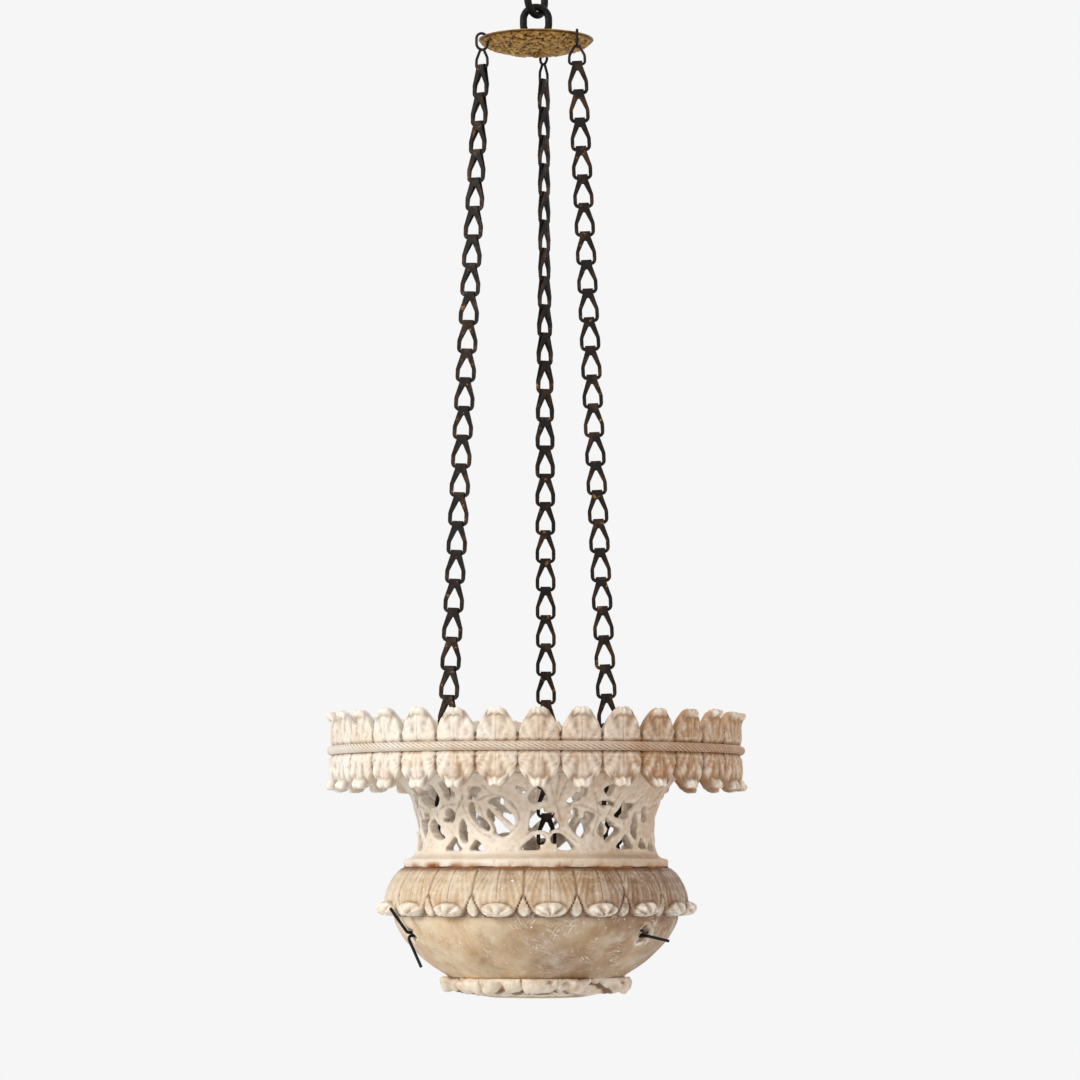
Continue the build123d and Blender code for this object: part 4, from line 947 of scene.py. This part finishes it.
# darker in hollows, behind the leaves, along the vein and near the seam: painted shade, with some dirt
leaf_dirt_and_shade = np.clip(-stand * 0.6, 0, 0.75) + 0.30 * (1 - on_leaf) * (1 - gap_leaf)
leaf_dirt_and_shade += 0.40 * bell(uu * bowl_half_mm, 0.7) * np.clip((35 - fall) / 6, 0, 1)
leaf_dirt_and_shade += 0.45 * np.clip(1 - fall / 6, 0, 1) + 0.30 * np.clip(1 - fall / 42, 0, 1)
# lighter where proud, on the curled tips and low on the leaves: rubbing and painted highlight
leaf_wear_and_highlight = np.clip(stand * 0.55, 0, 0.6) + 0.72 * np.clip(tip * 3, 0, 1) * flutes
leaf_wear_and_highlight += 0.35 * gap_leaf * np.clip((fall - 34) / 8, 0, 1)
leaf_wear_and_highlight += 0.30 * on_leaf * np.clip((fall - 43) / 3, 0, 1)
print("shoulder radius from", round(float(r_leaf.min()), 1), "to", round(float(r_leaf.max()), 1))


# %% [markdown]
# Below the leaves the wall is smooth, and just under them it is darkened, as painted shade. Where
# the chains' split pins come through it, the stone has flaked off: a shallow chip with a ragged edge,
# dark inside, as painted shade, and pale along its rim. The frame counts the pins' angles from the X
# axis, and the rings count theirs from the front, 90 degrees before it.

# %% Wall of the bowl
def angle_from(phis, angle):
    """Degrees from an angle to each column, the short way round."""
    return (phis - angle + 180) % 360 - 180


pin_azimuths = {"left": 203.5, "rear": 86.0, "right": -38.0}
pin_h = -65.0
wall_points = [(86, -107.95), (90, -106.2), (93.6, -103.6), (99.5, -100), (106, -95.7), (112.5, -90.5),
               (118.3, -84.9), (123.3, -80), (127.6, -75.6), (131.8, -70.5), (135.3, -64.8), (138.2, -60),
               (140.4, -55.5), (141.8, -51), (142.2, -48.3)]
wall_r, wall_h = np.array(wall_points).T
side_h = np.linspace(-107.9, -48.3, 42)
side_r = np.convolve(np.pad(np.interp(side_h, wall_h, wall_r), 2, mode="edge"), np.ones(5) / 5, mode="valid")
side_r, side_h = np.tile(side_r, (len(u), 1)), np.tile(side_h, (len(u), 1))
# darkened just under the leaves and inside each chip: painted shade
side_painted_shade = 0.35 * bell(side_h + 48.5, 3.0)
side_worn = np.zeros_like(side_h)
radius_at_pins = 135
for azimuth in pin_azimuths.values():
    arc = np.radians(angle_from(phis[:, None], azimuth + 90)) * radius_at_pins
    ragged = np.hypot(arc * 0.85, side_h - pin_h) + 5.5 * lumps(phis, side_r, side_h, 5.0, 17.0)
    side_r = side_r - 3.0 * np.clip((9.0 - ragged) / 4, 0, 1)
    side_painted_shade += 0.95 * np.clip((7.2 - ragged) / 1.5, 0, 1)
    side_worn += bell(ragged - 9.3, 1.8)
print("chipped share of the wall", round(float((side_worn > 0.1).mean()), 4))

# %% [markdown]
# The bowl's cut goes from the hole for the foot's bolt along the flat bottom, up the wall and the
# shoulder leaves to the seam, over the seat of the neck, and down the inside to the hole again.

# %% Bowl from its cut
bottom_r, bottom_h = all_round([(4.4, -108), (12, -108), (40, -108), (70, -108), (84, -108)], len(u))
inside_r, inside_h = all_round([
    (128, -0.1), (121.5, 0), (121, -0.8), (127, -7), (134, -16.5), (132.5, -30), (129.5, -48), (124, -60),
    (117, -70), (107, -80), (94, -88.5), (78, -94), (62, -96), (40, -96), (20, -96), (4.4, -96), (4.4, -102)],
    len(u))
bowl = carved_ring(
    "hollow_bowl", phis, np.hstack([bottom_r, side_r, r_leaf, inside_r]),
    np.hstack([bottom_h, side_h, h_leaf, inside_h]),
    dirt_and_shade=np.hstack([0 * bottom_r, np.clip(side_painted_shade, 0, 1), leaf_dirt_and_shade, 0 * inside_r + 0.12]),
    wear_and_highlight=np.hstack([0 * bottom_r, np.clip(side_worn, 0, 1), leaf_wear_and_highlight, 0 * inside_r]))


# %% [markdown]
# The split pins go through the wall, along a slanting line from the last link's eye. A plug is
# taken out with a Boolean at each hole. A clean drill hole would look new, so the plug is a short
# cylinder that is bisected twice and made ragged and wider outwards.

# %% Holes for the pins
def cut_with(piece, tool):
    """Take a tool's shape out of a piece, and throw the tool away."""
    cut = piece.modifiers.new("hole", "BOOLEAN")
    cut.operation = "DIFFERENCE"
    cut.solver = "EXACT"
    cut.object = tool
    deselect()
    piece.select_set(True)
    bpy.context.view_layer.objects.active = piece
    bpy.ops.object.modifier_apply(modifier="hole")
    bpy.data.objects.remove(tool)


def on_circle(radius, azimuth):
    """A point at a radius in mm and an angle from the X axis, at height 0."""
    turn = math.radians(azimuth)
    return Vector((radius * math.cos(turn), radius * math.sin(turn), 0)) / per_mm


eye_azimuths = {"left": 202.0, "rear": 84.0, "right": -41.0}
eye_radius, wall_radius, plug_from_eye = 106, 133, 26
plug_radius, plug_length = 3.6, 52
for side, azimuth in pin_azimuths.items():
    eye = on_circle(eye_radius, eye_azimuths[side])
    way = (on_circle(wall_radius, azimuth) - eye).normalized()
    deselect()
    bpy.ops.mesh.primitive_cylinder_add(vertices=26, radius=plug_radius / per_mm, depth=plug_length / per_mm)
    plug = bpy.context.object
    bpy.ops.object.mode_set(mode="EDIT")
    for height in (0, 0.007):
        bpy.ops.mesh.select_all(action="SELECT")
        bpy.ops.mesh.bisect(plane_co=(0, 0, height), plane_no=(0, 0, 1))
    bpy.ops.object.mode_set(mode="OBJECT")
    for vertex in plug.data.vertices:
        flare = min(max(0, vertex.co.z + 0.002) / 0.012, 2.6)
        ragged = 1 + flare * (0.55 + 0.35 * noise.noise(vertex.co * 700))
        vertex.co.x *= ragged
        vertex.co.y *= ragged
    plug.rotation_euler = way.to_track_quat("Z", "Y").to_euler()
    plug.location = eye + way * plug_from_eye / per_mm
    plug.location.z = (pin_h - seam_drop) / per_mm
    cut_with(bowl, plug)
print("bowl with holes", len(bowl.data.polygons), "faces")
bpy.ops.object.shade_smooth_by_angle(angle=math.radians(60))
finish(bowl, bowl_stone, "bowl_unit", "bowl")


# %% [markdown]
# The foot is a rosette of curled leaves round a flat boss. The carver left no two alike, and they are
# too worn to count, so their spacing and length come from smooth noise round the ring.

# %% Leaves of the foot
def ring_noise(phis, waves, seed):
    """Smooth random numbers round a ring, one per column, the quicker the more waves."""
    return np.array([noise.noise(Vector((math.cos(a) * waves, math.sin(a) * waves, seed)))
                     for a in np.radians(phis)])[:, None]


foot_phis = np.linspace(0, 360, 900, endpoint=False)
foot_top = -108.1
foot_points = [
    (9, -128.2), (20, -128.3), (34, -128.3), (44, -128.3), (47, -128.0), (50, -127.4), (54, -126.8),
    (58, -126.2), (61, -125.8), (64, -125.4), (67, -125.2), (70, -125.0), (73, -124.9), (76, -124.8),
    (79, -124.8), (82, -124.7), (85, -124.2), (88, -123.3), (90.6, -122.0), (92.8, -120.5),
    (94.6, -118.8), (95.9, -117.0), (96.5, -115.2), (96.3, -113.6), (95.3, -112.2), (93.6, -111.0),
    (91.2, -110.0), (88.4, -109.2), (84, -108.6), (76, -108.2), (60, -108.1), (20, -108.1),
    (4.4, -108.1), (4.4, -116), (4.4, -122.2), (9, -122.2)]
foot_r, foot_h = all_round(foot_points, len(foot_phis))
on_leaves = np.clip((foot_r - 50) / 16, 0, 1) * (foot_h < foot_top - 0.3)
roll = on_leaves * np.clip((foot_r - 76) / 14, 0, 1)
slow = ring_noise(foot_phis, 2.2, 5)
foot_leaves = 15
leaf_phase = np.radians(foot_phis)[:, None] * foot_leaves / 2 + 1.1 * ring_noise(foot_phis, 5.5, 1)
lobe = np.abs(np.cos(leaf_phase)) ** 0.55
crease = np.abs(np.sin(leaf_phase * 2)) ** 0.7
print("leaves round the foot", foot_leaves)

# %% [markdown]
# Age has broken the foot. Where a piece is gone, the rim is cut back and its underside lifted, and
# where a tip still hangs down like a hook, it is pulled down. Smaller chips come from noise. A
# Boolean would leave flat cuts, which stone this soft never has after a knock.

# %% Breaks of the foot
# each break: degrees from the front, half its width in degrees, share of the full depth
foot_breaks = [(-65, 4.5, 0.9), (47, 11, 1.0), (-24, 4, 0.45), (20, 3, 0.4), (78, 4, 0.5), (150, 8, 0.8),
               (188, 5, 1.0), (231, 8, 0.8)]
foot_hooks, hook_half = [90, -88, -38, -4, 166, 208], 9
broken = sum(share * bell(angle_from(foot_phis, angle), half) for angle, half, share in foot_breaks)[:, None]
hooked = sum(bell(angle_from(foot_phis, angle), hook_half) for angle in foot_hooks)[:, None]
chip = np.clip(lumps(foot_phis, foot_r, foot_h, 11.0, 2.0) - 0.04, 0, 1) * roll
carve = roll * (3.6 * (1 - lobe) + (4.0 * slow).clip(0, 3.0) + 13.0 * broken) + 15.0 * chip
lift = on_leaves * (4.2 * (1 - lobe) + 1.3 * (1 - crease) + 4.0 * chip) * np.clip((foot_r - 54) / 14, 0, 1)
lift += roll * 3.4 * np.clip(-slow * 2.2 + 0.1, 0, 1)
lift += 9.5 * broken * on_leaves * np.clip((foot_r - 52) / 14, 0, 1)
lift += hooked * on_leaves * 4.5 * bell(foot_r - 80, 4.5)
lift -= hooked * on_leaves * 3.6 * bell(foot_r - 91, 5) * np.clip((-foot_h - 114) / 5, 0, 1)
rough = 1.3 * lumps(foot_phis, foot_r, foot_h, 7.0, 5.0) + 0.9 * lumps(foot_phis, foot_r, foot_h, 3.0, 1.0)
new_r = foot_r - carve + rough * roll
new_h = np.minimum(foot_h + lift + rough * on_leaves * 0.8, foot_top)
stand = cavities(new_r * roll - new_h * on_leaves, 6) * on_leaves
# darker in hollows and between the lobes: dirt and painted shade; lighter where proud: rubbing and painted
# highlight
foot_dirt_and_shade = np.clip(-stand * 0.8, 0, 0.85) + 0.3 * (1 - lobe) * on_leaves
foot_wear_and_highlight = np.clip(stand * 0.5, 0, 0.6) + 0.08 * roll * lobe
rosette = carved_ring("foot_rosette_leaves", foot_phis, new_r, new_h, dirt_and_shade=foot_dirt_and_shade, wear_and_highlight=foot_wear_and_highlight)
finish(rosette, foot_stone, "bowl_unit", "foot_rosette")

# %% [markdown]
# The neck is set on the bowl with an orange-brown cement, which has squeezed out along the seam. The
# bead is a torus whose thickness wanders, because an even one would look like a rubber seal. The
# cement is matte and crumbly, and its two browns lie in patches of about 22 mm.

# %% Cement
bead_phis = np.linspace(0, 360, 520, endpoint=False)
bead_turn = np.linspace(0, 2 * np.pi, 10, endpoint=False)[None, :]
wave, ripple = ring_noise(bead_phis, 9, 3.3), ring_noise(bead_phis, 40, 1.3)
bead_size = np.clip(1.25 + 1.3 * wave + 0.7 * ripple, 0.55, 2.4)
clean = np.zeros((len(bead_phis), 10))
bead = carved_ring("seam_cement_bead", bead_phis, 131.3 + 0.75 * bead_size * np.cos(bead_turn),
                   0.5 + bead_size * np.sin(bead_turn) * 0.8, dirt_and_shade=clean, wear_and_highlight=clean)
cement, tree = empty_material("aged_cement")
place = add_node(tree, "ShaderNodeTexCoord").outputs["Object"]
stain = add_node(tree, "ShaderNodeTexNoise", {"Vector": place, "Scale": per_mm / 22, "Detail": 5.0})
stain_share = add_node(tree, "ShaderNodeMapRange", {0: stain.outputs[0], 1: 0.42, 2: 0.6, 3: 0.0, 4: 1.0})
paste = add_node(tree, "ShaderNodeMix", {0: stain_share.outputs[0], 6: linear("#4E3522"),
                                         7: linear("#A8662C")}, data_type="RGBA")
surface = add_node(tree, "ShaderNodeBsdfPrincipled", {"Base Color": paste.outputs[2], "Roughness": 0.75})
add_node(tree, "ShaderNodeOutputMaterial", {"Surface": surface.outputs[0]})
finish(bead, cement, "bowl_unit", None)

# %% [markdown]
# The canopy dish is thin brass, pressed from behind with crowded foliage. The relief is too worn and
# too dark to draw leaf by leaf, so it is a wandering pattern of scrolls with smooth noise of two
# sizes. Where the pressing stands back, the gilding is dark, and where it stands proud, it is
# lightened, as rubbed gilding and painted highlight. A thin dark line along the top of the rim is
# painted shade.

# %% Canopy dish
dish_under = float(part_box("canopy_shell")[0][2]) * per_mm
under = [(3.25, 0), (7, 0), (12, 0.15), (16, 0.4), (20, 0.75), (24, 1.25), (28, 1.8), (32, 2.45), (36, 3.2),
         (40, 4.1), (44, 5.1), (47, 6.0), (49.6, 6.9), (51.8, 8.0), (53.6, 9.2), (55.0, 10.2), (56.4, 11.3),
         (57.6, 12.4), (58.3, 13.2), (58.4, 13.6)]
top = [(57.4, 13.75), (56.6, 13.5), (55.2, 12.1), (53.2, 10.6), (50.8, 9.4), (48, 8.3), (44, 6.9), (38, 5.4),
       (30, 3.8), (22, 2.5), (14, 1.7), (9, 1.5), (3.25, 1.5)]
under_r, under_h = np.array(under, float).T
fine = np.linspace(0, len(under) - 1, 58)
under_r = np.interp(fine, range(len(under)), under_r)[None, :]
under_h = np.interp(fine, range(len(under)), under_h)[None, :]
dish_phis = np.linspace(0, 360, 600, endpoint=False)
top_r, top_h = all_round(top, len(dish_phis))
a = np.radians(dish_phis)[:, None]
flat_r, flat_z = under_r + 0 * a, under_h + 0 * a
scroll_count = 9
scrolls = np.cos(scroll_count * a + 1.6 * np.sin(under_r / 7.5)) \
    * np.sin(under_r / 4.6 + 1.3 * np.cos(scroll_count * a))
relief = 0.45 * scrolls + 1.9 * lumps(dish_phis, flat_r, flat_z, 5.2, 1.0) \
    + 1.2 * lumps(dish_phis, flat_r, flat_z, 2.6, 6.0)
inside_rim = np.clip((57.2 - under_r) / 2.2, 0, 1) * np.clip((under_r - 6.5) / 4, 0, 1)
push = relief * inside_rim
outward = np.clip((under_r - 44) / 12, 0, 1)
stand = cavities(relief, 5)
# dark in the pressing's hollows, as patina, with a painted shadow line along the top of the rim; lighter
# where proud, as worn gilding and painted highlight
dish_dirt_and_shade = np.clip(-stand * 1.5 - relief * 0.25, 0, 0.97) * inside_rim + 0.8 * bell(under_r - 57.0, 0.9)
dish_wear_and_highlight = np.clip(stand * 1.3 - 0.15, 0, 0.9) * inside_rim
canopy = carved_ring(
    "pressed_canopy_dish", dish_phis, np.hstack([under_r + push * outward * 0.8, top_r]),
    np.hstack([under_h - push * (1 - 0.55 * outward), top_h]), zero=dish_under,
    dirt_and_shade=np.hstack([dish_dirt_and_shade, 0 * top_r + 0.6]), wear_and_highlight=np.hstack([dish_wear_and_highlight, 0 * top_r]))

# %% [markdown]
# Three wire hooks go through the dish near its rim. Their holes are drilled and plain, so they are
# cut with a Boolean like the bowl's. The ring's rows would have to bend round them otherwise.

# %% Rim holes of the canopy
rim_hole_azimuths = {"left": 201.4, "rear": 77.8, "right": -38.6}
rim_hole_radius, rim_holes_at, rim_drill_length = 2.7, 52.8, 20
for azimuth in rim_hole_azimuths.values():
    place = on_circle(rim_holes_at, azimuth) + Vector((0, 0, (dish_under + 10) / per_mm))
    deselect()
    bpy.ops.mesh.primitive_cylinder_add(
        vertices=20, radius=rim_hole_radius / per_mm, depth=rim_drill_length / per_mm, location=place)
    cut_with(canopy, bpy.context.object)
print("canopy with holes", len(canopy.data.polygons), "faces")
bpy.ops.object.shade_smooth_by_angle(angle=math.radians(60))
finish(canopy, gilt_brass, "canopy", "canopy_shell")

# %% [markdown]
# The finial is a small drop of leaves under the dish, and the nut of the eye bolt. Seven leaves wrap
# it, so its rings are scalloped, and the scallops turn a little on the way up.

# %% Finial
low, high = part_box("canopy_finial")
drop_h = (high[2] - low[2]) * per_mm
drop_r = (high[0] - low[0]) * per_mm / 2
bore_r, bore_depth = 3.1, 3.1
drop_phis = np.linspace(0, 360, 120, endpoint=False)
a = np.radians(drop_phis)[:, None]
rise = np.linspace(0, 1, 22)
profile_r = drop_r * (0.30 + 0.72 * np.sin(rise * math.pi / 2) ** 1.3)
profile_r[0] = drop_r * 0.02
petal_count = 7
petals = 1 + 0.16 * np.cos(petal_count * a + 1.2 * np.sin(rise * 6)) * np.clip(rise * 3, 0, 1)
bore_rr, bore_hh = all_round([(drop_r * 0.6, drop_h), (bore_r, drop_h), (bore_r, drop_h - bore_depth),
                              (0.05, drop_h - bore_depth)], len(drop_phis))
finial = carved_ring(
    "leafy_finial", drop_phis, np.hstack([profile_r * petals, bore_rr]),
    np.hstack([np.tile(rise * drop_h, (len(drop_phis), 1)), bore_hh]), zero=float(low[2]) * per_mm,
    dirt_and_shade=np.hstack([np.clip(1.3 - petals, 0, 1) * 1.6, 0 * bore_rr]))
finish(finial, gilt_brass, "canopy", "canopy_finial")

# %% [markdown]
# The candle is ivory wax, cast smooth, and light goes a little way into it, which keeps its shadows
# soft. Its faint mottling is about 14 mm across. The wick is braided cotton, matte, with fine
# strands that run aslant.

# %% Wax and cotton
wax, tree = empty_material("ivory_candle_wax")
place = add_node(tree, "ShaderNodeTexCoord").outputs["Object"]
mottle = add_node(tree, "ShaderNodeTexNoise", {"Vector": place, "Scale": per_mm / 14, "Detail": 3.0})
wax_tone = add_node(tree, "ShaderNodeMix", {0: mottle.outputs[0], 6: linear("#EFE6D2"),
                                            7: linear("#E2D4B8")}, data_type="RGBA")
surface = add_node(tree, "ShaderNodeBsdfPrincipled", {
    "Base Color": wax_tone.outputs[2], "Roughness": 0.42, "Subsurface Weight": 0.3,
    "Subsurface Radius": (1.0, 0.7, 0.4), "Subsurface Scale": 4 / per_mm})
add_node(tree, "ShaderNodeOutputMaterial", {"Surface": surface.outputs[0]})
cotton, tree = empty_material("braided_cotton_wick")
place = add_node(tree, "ShaderNodeTexCoord").outputs["Object"]
braid = add_node(tree, "ShaderNodeTexWave", {"Vector": place, "Scale": per_mm / 1.2},
                 bands_direction="DIAGONAL")
cotton_tone = add_node(tree, "ShaderNodeMix", {0: braid.outputs[0], 6: linear("#E9E2D2"),
                                               7: linear("#B9AE98")}, data_type="RGBA")
surface = add_node(tree, "ShaderNodeBsdfPrincipled", {"Base Color": cotton_tone.outputs[2], "Roughness": 0.9})
add_node(tree, "ShaderNodeOutputMaterial", {"Surface": surface.outputs[0]})
print("candle", wax.name, cotton.name)

# %% [markdown]
# The chains, hooks, link, ring, pins and bolts keep their CAD shape, because their folded strip and
# bent wire are already modelled there. They only need their finish.

# %% Finishes on CAD pieces
finishes = [
    (forged_iron, ["top_link", "canopy_ring", "canopy_eye_bolt", "canopy_washer"]),
    (wire_iron, [side + part for side in ("left", "rear", "right") for part in ("_hook", "_split_pin")]),
    (strip_iron, ["left_chain_links", "left_end_link", "rear_chain_links", "right_chain_links"]),
    (bolt_steel, ["foot_bolt", "floor_washer", "floor_nut"]),
    (cement, ["seam_cement"]), (dish_brass, ["candle_dish"]), (wax, ["candle"]), (cotton, ["candle_wick"]),
]
for material, names in finishes:
    for name in names:
        nodes[name].data.materials.clear()
        nodes[name].data.materials.append(material)
print("finished CAD nodes", sum(len(names) for _, names in finishes))
